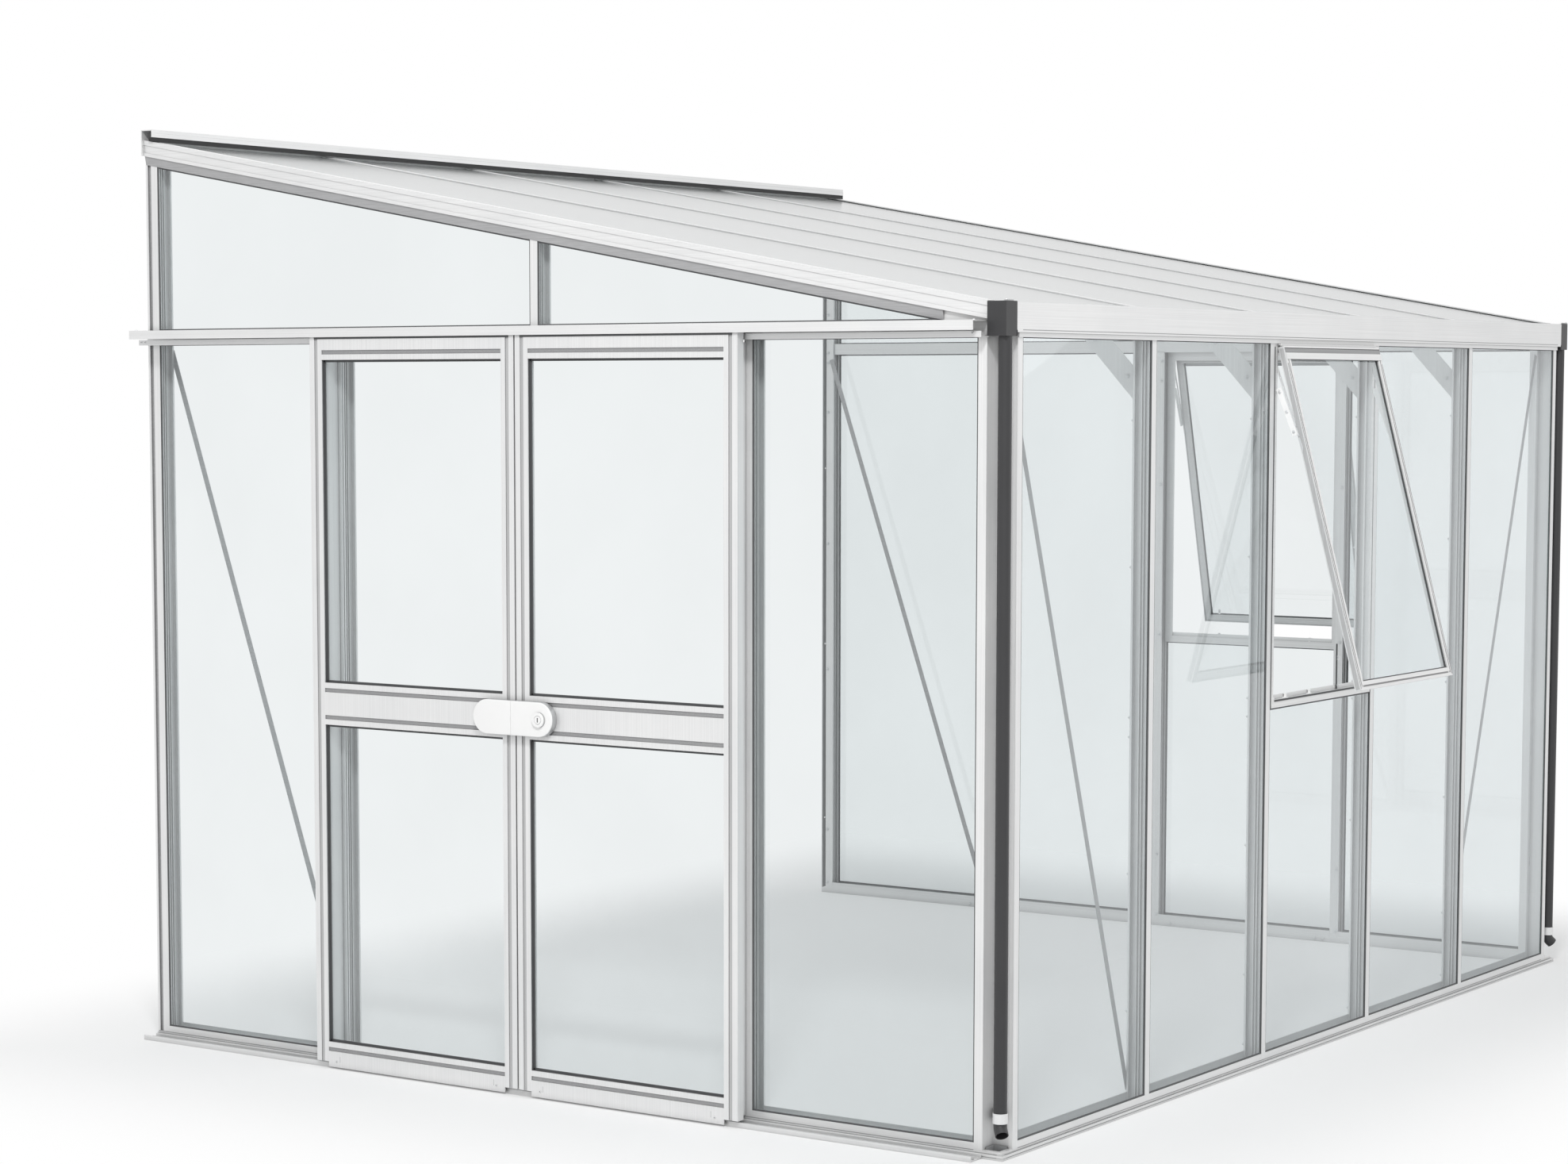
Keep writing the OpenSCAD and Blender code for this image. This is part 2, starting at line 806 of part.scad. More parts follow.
// Sash hung from its upper edge, turned outwards
module hung_sash() {
  translate([bay_w / 2 - sash_w / 2, recess - hinge_out, hinge_z]) rotate([-sash_open, 0, 0])
    translate([0, -sash_t, -sash_len]) children();
}

sash_glass_y = 6;
sash_lip = 9;
sash_groove = 5;

// Upright block over the sash's area, smaller all round by a given edge
module sash_block(edge, y0, y1) {
  translate([edge, y0, edge]) cube([sash_w - 2 * edge, y1 - y0, sash_len - 2 * edge]);
}

// Mitred sash bars: outer lip, groove and glazing lip, with a groove for the pane and a hollow back
module sash_frame() {
  hung_sash() difference() {
    sash_block(0, 0, sash_t);
    sash_block(sash_bar, -eps, sash_t + eps);
    sash_block(sash_bar - pane_edge, sash_glass_y, sash_glass_y + glass_t + 2 * slip);
    difference() {
      sash_block(sash_lip, -eps, rib);
      sash_block(sash_lip + sash_groove, -2 * eps, rib + eps);
    }
    difference() {
      sash_block(wall, sash_t - wall, sash_t + eps);
      sash_block(sash_bar - wall, sash_t - 2 * wall, sash_t + 2 * eps);
    }
  }
}

module sash_pane() {
  hung_sash() sash_block(sash_bar - pane_edge + slip, sash_glass_y + slip, sash_glass_y + slip + glass_t);
}

module in_front_bay() { translate([x_line(window_bay), 0, 0]) children(); }

module in_far_bay() {
  translate([long_l, y_line(window_bay - 1), 0]) rotate(90) children();
}

module front_window_frame() { color(alu) place() in_front_bay() window_frame(); }
module front_window_sash() { color(alu) place() in_front_bay() sash_frame(); }
module front_window_glass() { color(clear) place() in_front_bay() sash_pane(); }
module far_window_frame() { color(alu) place() in_far_bay() window_frame(); }
module far_window_sash() { color(alu) place() in_far_bay() sash_frame(); }
module far_window_glass() { color(clear) place() in_far_bay() sash_pane(); }

stay_top = 60;
stay_low = 300;
stay_t = 2;

// Perforated arm on each side of a sash, from the frame's jamb to the sash's side
module stay_pair() {
  dy = (stay_low - 6) * sin(sash_open);
  for (x = [face_w / 2 + jamb_w - slip - stay_t, bay_w - face_w / 2 - jamb_w + slip])
    translate([x, 0, 0]) rotate([90, 0, 90]) linear_extrude(stay_t) difference() {
      polygon([[recess - slip, hinge_z - stay_top + 8], [recess - slip, hinge_z - stay_top - 10],
               [recess - dy - 12, hinge_z - stay_low - 8], [recess - dy - 12, hinge_z - stay_low + 8]]);
      for (k = [0.12 : 0.12 : 0.92])
        translate([recess - k * (dy + 12), hinge_z - stay_top - k * (stay_low - stay_top)])
          circle(r = 2.5);
    }
}

module window_stays() {
  color(alu) place() {
    in_front_bay() stay_pair();
    in_far_bay() stay_pair();
  }
}

glass_x = leaf_t / 2 - glass_t / 2;
pane_lo_z0 = bottom_rail_h;
pane_lo_z1 = mid_rail_z - leaf_z - mid_rail_h / 2;
pane_hi_z0 = pane_lo_z1 + mid_rail_h;
pane_hi_z1 = leaf_h - top_rail_h;

module rail_grooves() {
  for (z = [pane_lo_z0 - lip_h - groove_h, pane_lo_z1 + lip_h,
            pane_hi_z0 - lip_h - groove_h, pane_hi_z1 + lip_h])
    translate([-eps, stile_w, z]) cube([groove_deep + eps, leaf_w - 2 * stile_w, groove_h]);
}

// Door leaf from its outer face inwards, its outer stile at y = 0
module leaf_frame() {
  difference() {
    cube([leaf_t, leaf_w, leaf_h]);
    translate([wall, -eps, -eps]) cube([leaf_t, leaf_w + 2 * eps, plate_drop + eps]);
    for (y = [-eps, leaf_w - stile_w]) translate([-eps, y, -eps])
      cube([wall + 2 * eps, stile_w + eps, plate_drop + eps]);
    for (z = [[pane_lo_z0, pane_lo_z1], [pane_hi_z0, pane_hi_z1]]) {
      translate([-eps, stile_w, z[0]])
        cube([leaf_t + 2 * eps, leaf_w - 2 * stile_w, z[1] - z[0]]);
      translate([glass_x - slip, stile_w - pane_edge, z[0] - pane_edge])
        cube([glass_t + 2 * slip, leaf_w - 2 * stile_w + 2 * pane_edge,
              z[1] - z[0] + 2 * pane_edge]);
    }
    rail_grooves();
    for (y = [lip_w, leaf_w - lip_w - groove_h]) translate([-eps, y, -eps])
      cube([groove_deep + eps, groove_h, leaf_h + 2 * eps]);
  }
}

module leaf_panes() {
  e = pane_edge - slip;
  for (z = [[pane_lo_z0, pane_lo_z1], [pane_hi_z0, pane_hi_z1]])
    translate([glass_x, stile_w - e, z[0] - e])
      cube([glass_t, leaf_w - 2 * stile_w + 2 * e, z[1] - z[0] + 2 * e]);
}

axle_r = 4;
block_l = 30;
block_z = 4;
block_side = 6;

// Hanger wheels on the track's rib and guide blocks over the bottom rib
module leaf_runners() {
  for (y = [runner_inset, leaf_w - runner_inset]) {
    translate([0, y, wheel_z - leaf_z]) rotate([0, 90, 0]) {
      translate([0, 0, wheel_x - leaf_x]) cylinder(r = wheel_r, h = wheel_w);
      translate([0, 0, leaf_t]) cylinder(r = axle_r, h = wheel_x - leaf_x - leaf_t);
    }
    translate([guide_x - leaf_x - block_side, y - block_l / 2, block_z]) difference() {
      cube([wall + 2 * block_side, block_l, plate_drop - block_z]);
      translate([block_side - 1, -eps, -eps])
        cube([wall + 2, block_l + 2 * eps, guide_h + 2 - leaf_z - block_z + eps]);
    }
  }
}

handle_z = 1088;
knob_in = 102;
knob_r = 21;
handle_l = 137;
handle_r = 49;
handle_in = 153;

// Half of the oval handle, from the meeting edge outwards
module handle_half(l) {
  intersection() {
    translate([-handle_out, 0, handle_z]) rotate([0, 90, 0]) linear_extrude(handle_out - slip)
      hull() {
        translate([0, l - handle_r]) circle(r = handle_r);
        translate([0, -2 * handle_r]) circle(r = handle_r);
      }
    translate([-2 * handle_out, meet_gap / 2, 0]) cube([4 * handle_out, l, 2 * handle_z]);
  }
}

module left_leaf() { translate([leaf_x, door_mid + meet_gap / 2 + leaf_w, 0]) mirror([0, 1, 0]) children(); }
module right_leaf() { translate([leaf_x, door_mid - meet_gap / 2 - leaf_w, 0]) children(); }

module door_left_frame() { color(alu) place() left_leaf() translate([0, 0, leaf_z]) leaf_frame(); }
module door_left_glass() { color(clear) place() left_leaf() translate([0, 0, leaf_z]) leaf_panes(); }
module door_left_handle() { color("white") place() translate([leaf_x, door_mid, 0]) handle_half(handle_l); }
module door_left_runners() { color("white") place() left_leaf() translate([0, 0, leaf_z]) leaf_runners(); }
module door_right_frame() { color(alu) place() right_leaf() translate([0, 0, leaf_z]) leaf_frame(); }
module door_right_glass() { color(clear) place() right_leaf() translate([0, 0, leaf_z]) leaf_panes(); }
module door_right_handle() {
  color("white") place() translate([leaf_x, door_mid, 0]) {
    mirror([0, 1, 0]) handle_half(handle_in);
    translate([-handle_out - knob_out, -knob_in, handle_z]) rotate([0, 90, 0])
      cylinder(r = knob_r, h = knob_out + rib);
  }
}
module door_right_runners() { color("white") place() right_leaf() translate([0, 0, leaf_z]) leaf_runners(); }

sill_near();
sill_front();
sill_far();
corner_plates();
wall_post_near();
wall_post_far();
corner_post_near();
corner_post_far();
front_posts();
door_posts();
gable_mullions();
gable_posts_far();
transom_near();
transom_far();
door_header();
door_guide_rail();
eaves_beam();
gutter();
hoppers();
downpipes();
pipe_clips();
verge_near();
verge_far();
rafters();
wall_rail();
wall_seal();
roof_sheets();
knee_braces();
wind_braces();
gable_glass_near();
front_glass();
gable_glass_far();
front_window_frame();
front_window_sash();
front_window_glass();
far_window_frame();
far_window_sash();
far_window_glass();
window_stays();
door_left_frame();
door_left_glass();
door_left_handle();
door_left_runners();
door_right_frame();
door_right_glass();
door_right_handle();
door_right_runners();
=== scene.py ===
import bpy, bmesh, math
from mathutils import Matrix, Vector


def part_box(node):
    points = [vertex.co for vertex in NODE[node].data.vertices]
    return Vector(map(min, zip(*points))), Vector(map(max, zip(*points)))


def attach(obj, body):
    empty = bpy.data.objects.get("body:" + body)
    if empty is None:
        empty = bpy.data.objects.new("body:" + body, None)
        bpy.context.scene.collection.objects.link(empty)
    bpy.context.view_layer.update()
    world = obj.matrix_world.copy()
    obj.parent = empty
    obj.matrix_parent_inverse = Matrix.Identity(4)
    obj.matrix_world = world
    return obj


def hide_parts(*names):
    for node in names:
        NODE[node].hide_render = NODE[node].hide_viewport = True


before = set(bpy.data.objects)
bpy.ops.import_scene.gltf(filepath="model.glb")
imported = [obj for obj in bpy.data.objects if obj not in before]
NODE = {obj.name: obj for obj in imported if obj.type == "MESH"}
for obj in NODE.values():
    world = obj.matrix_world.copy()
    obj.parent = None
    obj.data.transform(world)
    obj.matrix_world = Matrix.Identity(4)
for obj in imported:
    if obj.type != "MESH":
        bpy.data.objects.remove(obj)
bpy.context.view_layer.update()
ROOT, DOOR_L, DOOR_R = "greenhouse", "door_left", "door_right"

# Materials

def new_mat(name):
    m = bpy.data.materials.new(name)
    m.use_nodes = True
    nt = m.node_tree
    nt.nodes.clear()
    out = nt.nodes.new("ShaderNodeOutputMaterial")
    return m, nt, out


def put(nt, kind, **values):
    n = nt.nodes.new(kind)
    for k, v in values.items():
        if hasattr(n, k):
            setattr(n, k, v)
        else:
            n.inputs[k.replace("_", " ")].default_value = v
    return n


def ramp(nt, source, stops):
    r = nt.nodes.new("ShaderNodeValToRGB")
    r.color_ramp.elements[0].position, r.color_ramp.elements[0].color = stops[0][0], (*stops[0][1], 1)
    r.color_ramp.elements[1].position, r.color_ramp.elements[1].color = stops[-1][0], (*stops[-1][1], 1)
    for pos, col in stops[1:-1]:
        e = r.color_ramp.elements.new(pos)
        e.color = (*col, 1)
    nt.links.new(source, r.inputs[0])
    return r.outputs[0]


def coords(nt, scale):
    tc = nt.nodes.new("ShaderNodeTexCoord")
    mp = nt.nodes.new("ShaderNodeMapping")
    mp.inputs["Scale"].default_value = scale
    nt.links.new(tc.outputs["Object"], mp.inputs["Vector"])
    return mp.outputs[0]


def noise(nt, vec, scale, detail=4.0, rough=0.55):
    n = put(nt, "ShaderNodeTexNoise", Scale=scale, Detail=detail, Roughness=rough)
    nt.links.new(vec, n.inputs["Vector"])
    return n.outputs[0]


def recess_shade(nt, reach, low):
    """Painted shade that darkens grooves and inner corners, as a grey factor."""
    ao = put(nt, "ShaderNodeAmbientOcclusion", samples=6, Distance=reach)
    return ramp(nt, ao.outputs["AO"], [(0.15, (low, low, low)), (0.85, (1, 1, 1))])


def alu(name, base, axis, rough=0.38, metallic=0.35, lines=0.05, low=0.5):
    """Drawn aluminium: fine lines along the extrusion, soft cloudy smudges and painted shade in its grooves and
    corners.
    """
    m, nt, out = new_mat(name)
    s = [420.0, 420.0, 420.0]
    s[axis] = 1.6
    fine = noise(nt, coords(nt, s), 1.0, 3.0)
    cloud = noise(nt, coords(nt, (1, 1, 1)), 3.1, 5.0)
    lo = tuple(c * (1 - lines) for c in base)
    hi = tuple(min(1.0, c * (1 + lines * 0.6)) for c in base)
    c1 = ramp(nt, fine, [(0.35, lo), (0.65, hi)])
    c2 = ramp(nt, cloud, [(0.3, (0.93, 0.935, 0.94)), (0.7, (1, 1, 1))])
    mix = put(nt, "ShaderNodeMixRGB", blend_type="MULTIPLY", Fac=1.0)
    nt.links.new(c1, mix.inputs[1])
    nt.links.new(c2, mix.inputs[2])
    # painted shade: the colour is multiplied down where other surfaces stand close, in grooves and inner corners
    deep = put(nt, "ShaderNodeMixRGB", blend_type="MULTIPLY", Fac=1.0)
    nt.links.new(mix.outputs[0], deep.inputs[1])
    nt.links.new(recess_shade(nt, 0.03, low), deep.inputs[2])
    b = put(nt, "ShaderNodeBsdfPrincipled", Metallic=metallic)
    nt.links.new(deep.outputs[0], b.inputs["Base Color"])
    rr = put(nt, "ShaderNodeMapRange")
    rr.inputs["To Min"].default_value = rough - 0.07
    rr.inputs["To Max"].default_value = rough + 0.09
    nt.links.new(cloud, rr.inputs["Value"])
    nt.links.new(rr.outputs[0], b.inputs["Roughness"])
    bump = put(nt, "ShaderNodeBump", Strength=0.12, Distance=0.0004)
    nt.links.new(fine, bump.inputs["Height"])
    nt.links.new(bump.outputs[0], b.inputs["Normal"])
    nt.links.new(b.outputs[0], out.inputs[0])
    return m


def plastic(name, base, rough=0.38, speck=0.06, bump_d=0.0002, coat=0.0):
    """Moulded plastic or rubber with a fine grain."""
    m, nt, out = new_mat(name)
    g = noise(nt, coords(nt, (1, 1, 1)), 260.0, 3.0)
    cloud = noise(nt, coords(nt, (1, 1, 1)), 6.0, 4.0)
    lo = tuple(c * (1 - speck) for c in base)
    hi = tuple(min(1, c * (1 + speck)) for c in base)
    col = ramp(nt, cloud, [(0.3, lo), (0.7, hi)])
    b = put(nt, "ShaderNodeBsdfPrincipled")
    b.inputs["Coat Weight"].default_value = coat
    nt.links.new(col, b.inputs["Base Color"])
    rr = put(nt, "ShaderNodeMapRange")
    rr.inputs["To Min"].default_value = rough - 0.06
    rr.inputs["To Max"].default_value = rough + 0.1
    nt.links.new(cloud, rr.inputs["Value"])
    nt.links.new(rr.outputs[0], b.inputs["Roughness"])
    bump = put(nt, "ShaderNodeBump", Strength=0.25, Distance=bump_d)
    nt.links.new(g, bump.inputs["Height"])
    nt.links.new(bump.outputs[0], b.inputs["Normal"])
    nt.links.new(b.outputs[0], out.inputs[0])
    return m


def front_fresnel(nt, ior):
    """Share of light that a pane's two surfaces r give back together, 2r / (1 + r), counted where the
    light meets the pane; the side it leaves by adds nothing."""
    fr = put(nt, "ShaderNodeFresnel", IOR=ior)
    more = put(nt, "ShaderNodeMath", operation="ADD")
    nt.links.new(fr.outputs[0], more.inputs[0])
    more.inputs[1].default_value = 1.0
    share = put(nt, "ShaderNodeMath", operation="DIVIDE")
    nt.links.new(fr.outputs[0], share.inputs[0])
    nt.links.new(more.outputs[0], share.inputs[1])
    both = put(nt, "ShaderNodeMath", operation="MULTIPLY")
    nt.links.new(share.outputs[0], both.inputs[0])
    both.inputs[1].default_value = 2.0
    geo = nt.nodes.new("ShaderNodeNewGeometry")
    inv = put(nt, "ShaderNodeMath", operation="SUBTRACT")
    inv.inputs[0].default_value = 1.0
    nt.links.new(geo.outputs["Backfacing"], inv.inputs[1])
    mul = put(nt, "ShaderNodeMath", operation="MULTIPLY")
    nt.links.new(both.outputs[0], mul.inputs[0])
    nt.links.new(inv.outputs[0], mul.inputs[1])
    return mul.outputs[0]


def glass(name, tint, thin, edge):
    """Thin float glass: clear face-on, mirror-like at a grazing angle, greener on its cut edges."""
    m, nt, out = new_mat(name)
    cloud = noise(nt, coords(nt, (1, 1, 1)), 1.7, 4.0)
    lo = tuple(c * 0.985 for c in tint)
    col = ramp(nt, cloud, [(0.35, lo), (0.65, tint)])
    tr = put(nt, "ShaderNodeBsdfTransparent")
    nt.links.new(col, tr.inputs[0])
    gl = put(nt, "ShaderNodeBsdfGlossy", Roughness=0.02)
    gl.inputs[0].default_value = (0.96, 0.98, 1.0, 1)
    mx = nt.nodes.new("ShaderNodeMixShader")
    nt.links.new(front_fresnel(nt, 1.5), mx.inputs[0])
    nt.links.new(tr.outputs[0], mx.inputs[1])
    nt.links.new(gl.outputs[0], mx.inputs[2])
    # the cut edges are the faces that look along neither of the pane's own normals
    geo = nt.nodes.new("ShaderNodeNewGeometry")
    dot = put(nt, "ShaderNodeVectorMath", operation="DOT_PRODUCT")
    dot.inputs[1].default_value = thin
    nt.links.new(geo.outputs["True Normal"], dot.inputs[0])
    ab = put(nt, "ShaderNodeMath", operation="ABSOLUTE")
    nt.links.new(dot.outputs["Value"], ab.inputs[0])
    lt = put(nt, "ShaderNodeMath", operation="LESS_THAN")
    lt.inputs[1].default_value = 0.7
    nt.links.new(ab.outputs[0], lt.inputs[0])
    ed = put(nt, "ShaderNodeBsdfPrincipled", Roughness=0.2)
    ed.inputs["Base Color"].default_value = (*edge, 1)
    ed.inputs["Transmission Weight"].default_value = 0.4
    m2 = nt.nodes.new("ShaderNodeMixShader")
    nt.links.new(lt.outputs[0], m2.inputs[0])
    nt.links.new(mx.outputs[0], m2.inputs[1])
    nt.links.new(ed.outputs[0], m2.inputs[2])
    nt.links.new(m2.outputs[0], out.inputs[0])
    return m


def ribbed(name):
    """Twin-wall sheet: pale and half clear, its ribs running down the slope."""
    m, nt, out = new_mat(name)
    vec = coords(nt, (1, 1, 1))
    wave = put(nt, "ShaderNodeTexWave", wave_type="BANDS", bands_direction="X", Scale=31.4, Distortion=0.0)
    nt.links.new(vec, wave.inputs["Vector"])
    cloud = noise(nt, vec, 2.3, 4.0)
    col = ramp(nt, wave.outputs["Color"], [(0.1, (0.80, 0.83, 0.835)), (0.6, (0.90, 0.925, 0.93)), (0.9, (0.94, 0.955, 0.96))])
    tr = put(nt, "ShaderNodeBsdfTransparent")
    tr.inputs[0].default_value = (0.93, 0.96, 0.965, 1)
    tl = nt.nodes.new("ShaderNodeBsdfTranslucent")
    nt.links.new(col, tl.inputs[0])
    df = nt.nodes.new("ShaderNodeBsdfDiffuse")
    nt.links.new(col, df.inputs[0])
    gl = put(nt, "ShaderNodeBsdfGlossy", Roughness=0.18)
    a = put(nt, "ShaderNodeMixShader", Fac=0.45)
    nt.links.new(df.outputs[0], a.inputs[1])
    nt.links.new(tl.outputs[0], a.inputs[2])
    rr = put(nt, "ShaderNodeMapRange")
    rr.inputs["To Min"].default_value = 0.58
    rr.inputs["To Max"].default_value = 0.68
    nt.links.new(cloud, rr.inputs["Value"])
    b = nt.nodes.new("ShaderNodeMixShader")
    nt.links.new(rr.outputs[0], b.inputs[0])
    nt.links.new(tr.outputs[0], b.inputs[1])
    nt.links.new(a.outputs[0], b.inputs[2])
    c = nt.nodes.new("ShaderNodeMixShader")
    nt.links.new(front_fresnel(nt, 1.45), c.inputs[0])
    nt.links.new(b.outputs[0], c.inputs[1])
    nt.links.new(gl.outputs[0], c.inputs[2])
    nt.links.new(c.outputs[0], out.inputs[0])
    return m


PALE = (0.85, 0.85, 0.848)
ALU = [alu("alu_along_x", PALE, 0), alu("alu_along_y", PALE, 1), alu("alu_along_z", PALE, 2)]
# darker grey aluminium that stands in as painted shade on the corner plates, the knee braces and round the handles'
# sides
SHADE = alu("alu_painted_shade", (0.58, 0.585, 0.59), 2, rough=0.42, metallic=0.5)
STEEL = alu("steel_bolts", (0.8, 0.805, 0.81), 2, rough=0.3, metallic=0.45, lines=0.03, low=0.85)
BLACK = plastic("black_plastic", (0.034, 0.034, 0.036), rough=0.42)
RUBBER = plastic("black_rubber", (0.022, 0.022, 0.023), rough=0.62, bump_d=0.0003)
# darker greys laid on as painted shade, in grooves, along sill creases, on shaded sides, on the verge's bead and on the
# wind braces; the pale one also colours real grey parts: tabs, joints and the lock barrel
GREY_X = alu("painted_shade_dark", (0.36, 0.36, 0.365), 0, rough=0.5, metallic=0.2, lines=0.12)
GREY_Y = alu("shade_grey", (0.46, 0.46, 0.465), 1, rough=0.5, metallic=0.2, lines=0.10)
GREY_Z = alu("pale_grey_and_painted_shade", (0.56, 0.56, 0.562), 2, rough=0.5, metallic=0.2, lines=0.10)
SEAL = plastic("grey_rubber", (0.085, 0.087, 0.09), rough=0.6, bump_d=0.0003)
# near-black for the screw slots and the key slit: painted shade in them
SLOT = plastic("painted_slot_shade", (0.06, 0.06, 0.062), rough=0.5)
WHITE = plastic("white_plastic", (0.95, 0.95, 0.945), rough=0.28, speck=0.015, coat=0.2)
TINT = (0.925, 0.94, 0.942)
EDGE = (0.20, 0.42, 0.38)
GLASS_X = glass("glass_gable", TINT, (1, 0, 0), EDGE)
GLASS_Y = glass("glass_front", TINT, (0, 1, 0), EDGE)
SHEET = ribbed("twin_wall_sheet")

# the corner plates and knee braces take SHADE and the wind braces the shade grey: painted shade on them
MAT = {
    "sill_near": ALU[1], "sill_front": ALU[0], "sill_far": ALU[1], "corner_plates": SHADE,
    "wall_post_near": ALU[2], "wall_post_far": ALU[2], "corner_post_near": ALU[2], "corner_post_far": ALU[2],
    "front_posts": ALU[2], "door_posts": ALU[2], "gable_mullions": ALU[2], "gable_posts_far": ALU[2],
    "transom_near": ALU[1], "transom_far": ALU[1], "door_header": ALU[1], "door_guide_rail": ALU[1],
    "eaves_beam": ALU[0], "gutter": ALU[0], "hoppers": BLACK, "downpipes": BLACK, "pipe_clips": ALU[0],
    "verge_near": ALU[1], "verge_far": ALU[1], "rafters": ALU[1], "wall_rail": ALU[0], "wall_seal": RUBBER,
    "roof_sheets": SHEET, "knee_braces": SHADE, "wind_braces": GREY_Y,
    "gable_glass_near": GLASS_X, "front_glass": GLASS_Y, "gable_glass_far": GLASS_X,
    "front_window_frame": ALU[0], "front_window_sash": ALU[0], "front_window_glass": GLASS_Y,
    "far_window_frame": ALU[1], "far_window_sash": ALU[1], "far_window_glass": GLASS_X, "window_stays": STEEL,
    "door_left_frame": ALU[2], "door_left_glass": GLASS_X, "door_left_handle": WHITE, "door_left_runners": WHITE,
    "door_right_frame": ALU[2], "door_right_glass": GLASS_X, "door_right_handle": WHITE, "door_right_runners": WHITE,
}
for name, ob in NODE.items():
    ob.data.materials.clear()
    ob.data.materials.append(MAT.get(name, ALU[0]))
    for p in ob.data.polygons:
        p.material_index = 0

# Pieces of the visual model

# The greenhouse's own corner (sills' outer edges) in the part's frame, in metres
G0 = Vector(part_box("sill_front")[0])


# Places and sizes of the greenhouse in millimetres, as in the part's source: x along the eaves from the
# near gable's sill, y from the eaves' sill to the house wall, z up from the floor
MM = 0.001
RECESS, FACE_W, BAR_D, LIP = 9.0, 26.0, 58.0, 3.0
BAY, FIRST = 735.0, 80.0
LONG = 2 * FIRST + 5 * BAY
WALL_LINE, WALL_Y = FIRST + 4 * BAY, FIRST + 4 * BAY + 35
CORNER_IN, SILL_H, FRAME_TOP, HEADER_TOP = 67.0, 20.0, 2150.0, 2192.0
INNER = RECESS + BAR_D
PANE = RECESS + LIP + 0.3
ROOF_Z, PITCH = 2226.0, math.radians(10)
VERGE_DROP, BEAD_H, KICK_H = 41.0, 18.0, 22.0
LEAF_X, LEAF_T, LEAF_W, LEAF_Z, LEAF_TOP = -66.0, 28.0, 762.0, 5.0, 2175.0
STILE, LIP_W, GROOVE, GROOVE_DEEP = 46.0, 18.0, 12.0, 3.0
DOOR_MID, MEET = FIRST + 2 * BAY + 13, 5.0
LOW_PANE = (80.0, 1028.0)
HIGH_PANE = (1152.0, 2099.0)
HINGE_Z, TILT, SASH_LEN, SASH_T, SASH_BAR = 2136.0, math.radians(14.7), 1038.0, 20.0, 26.0
JAMB_W = 21.0
X, Y, Z = Vector((1, 0, 0)), Vector((0, 1, 0)), Vector((0, 0, 1))


def at(x, y, z):
    """A point of the greenhouse, given in millimetres, in the frame's metres."""
    return G0 + Vector((x, y, z)) * MM


def roof_z(y):
    return ROOF_Z + math.tan(PITCH) * y


class Kit:
    """Gathers many small solids of one finish in one mesh."""

    def __init__(self):
        self.bm = bmesh.new()

    def loft(self, rings, closed=True):
        """Skin over rings of points, capped at both ends."""
        rows = [[self.bm.verts.new(p) for p in ring] for ring in rings]
        n = len(rows[0])
        for a, b in zip(rows, rows[1:]):
            for i in range(n):
                self.bm.faces.new((a[i], a[(i + 1) % n], b[(i + 1) % n], b[i]))
        if closed:
            self.bm.faces.new(rows[0][::-1])
            self.bm.faces.new(rows[-1])

    def sweep(self, section, start, end, u, v):
        """A section of (u, v) points in millimetres drawn from start to end."""
        self.loft([[e + (u * a + v * b) * MM for a, b in section] for e in (start, end)])

    def strip(self, start, end, u, wide, v, thick, edge=0.3):
        """A flat strip with broken edges, centred across its width, standing thick above its line."""
        w = wide / 2
        self.sweep([(-w, 0), (w, 0), (w, thick - edge), (w - edge, thick), (edge - w, thick), (-w, thick - edge)],
                   start, end, u, v)

    def lathe(self, profile, base, axis, turn=16):
        """A turned solid: (radius, height) points in millimetres from the base along the axis."""
        side = axis.orthogonal().normalized()
        other = axis.cross(side)
        rings = []
        for r, h in profile:
            rings.append([base + (axis * h + (side * math.cos(t) + other * math.sin(t)) * r) * MM
                          for t in (2 * math.pi * k / turn for k in range(turn))])
        self.loft(rings)

    def screw(self, base, axis, r=4.0, h=2.4):
        """Pan-head screw with a cross slot, standing on base along axis."""
        self.lathe([(r, 0), (r, 0.25 * h), (0.86 * r, 0.7 * h), (0.55 * r, 0.95 * h), (0.3 * r, h)], base, axis)

    def nut(self, base, axis, r=5.6, h=4.6, stud=4.0):
        """Washer, hexagon nut and the domed end of its bolt."""
        self.lathe([(1.18 * r, 0), (1.18 * r, 1.0), (1.0 * r, 1.3)], base, axis)
        self.lathe([(r, 1.3), (r, 0.8 * h), (0.86 * r, h)], base, axis, turn=6)
        self.lathe([(0.52 * r, h), (0.52 * r, h + stud - 1), (0.34 * r, h + stud)], base, axis, turn=12)

    def make(self, name, mat, body, flat=False):
        bmesh.ops.recalc_face_normals(self.bm, faces=self.bm.faces)
        mesh = bpy.data.meshes.new(name)
        self.bm.to_mesh(mesh)
        self.bm.free()
        mesh.materials.append(mat)
        ob = bpy.data.objects.new(name, mesh)
        bpy.context.collection.objects.link(ob)
        if not flat:
            for p in mesh.polygons:
                p.use_smooth = True
            mesh.set_sharp_from_angle(angle=math.radians(32))
        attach(ob, body)
        return ob


def slots(kit, base, axis, r, deep=0.25):
    """The cross slot of a screw, as two dark bars let into its head: painted shade in the slot."""
    side = axis.orthogonal().normalized()
    other = axis.cross(side)
    for a, b in ((side, other), (other, side)):
        kit.strip(base - a * 0.5 * r * MM, base + a * 0.5 * r * MM, b, 0.22 * r, axis, deep, edge=0.05)


def screws(name, places, body):
    """Pan-head screws at (point, axis, radius) with their cross slots dark with painted shade."""
    heads, cuts = Kit(), Kit()
    for p, axis, r in places:
        h = 0.55 * r
        heads.screw(p, axis, r, h)
        slots(cuts, p + axis * (h - 0.1) * MM, axis, r)
    heads.make(name, STEEL, body)
    cuts.make(name + "_slots", SLOT, body)


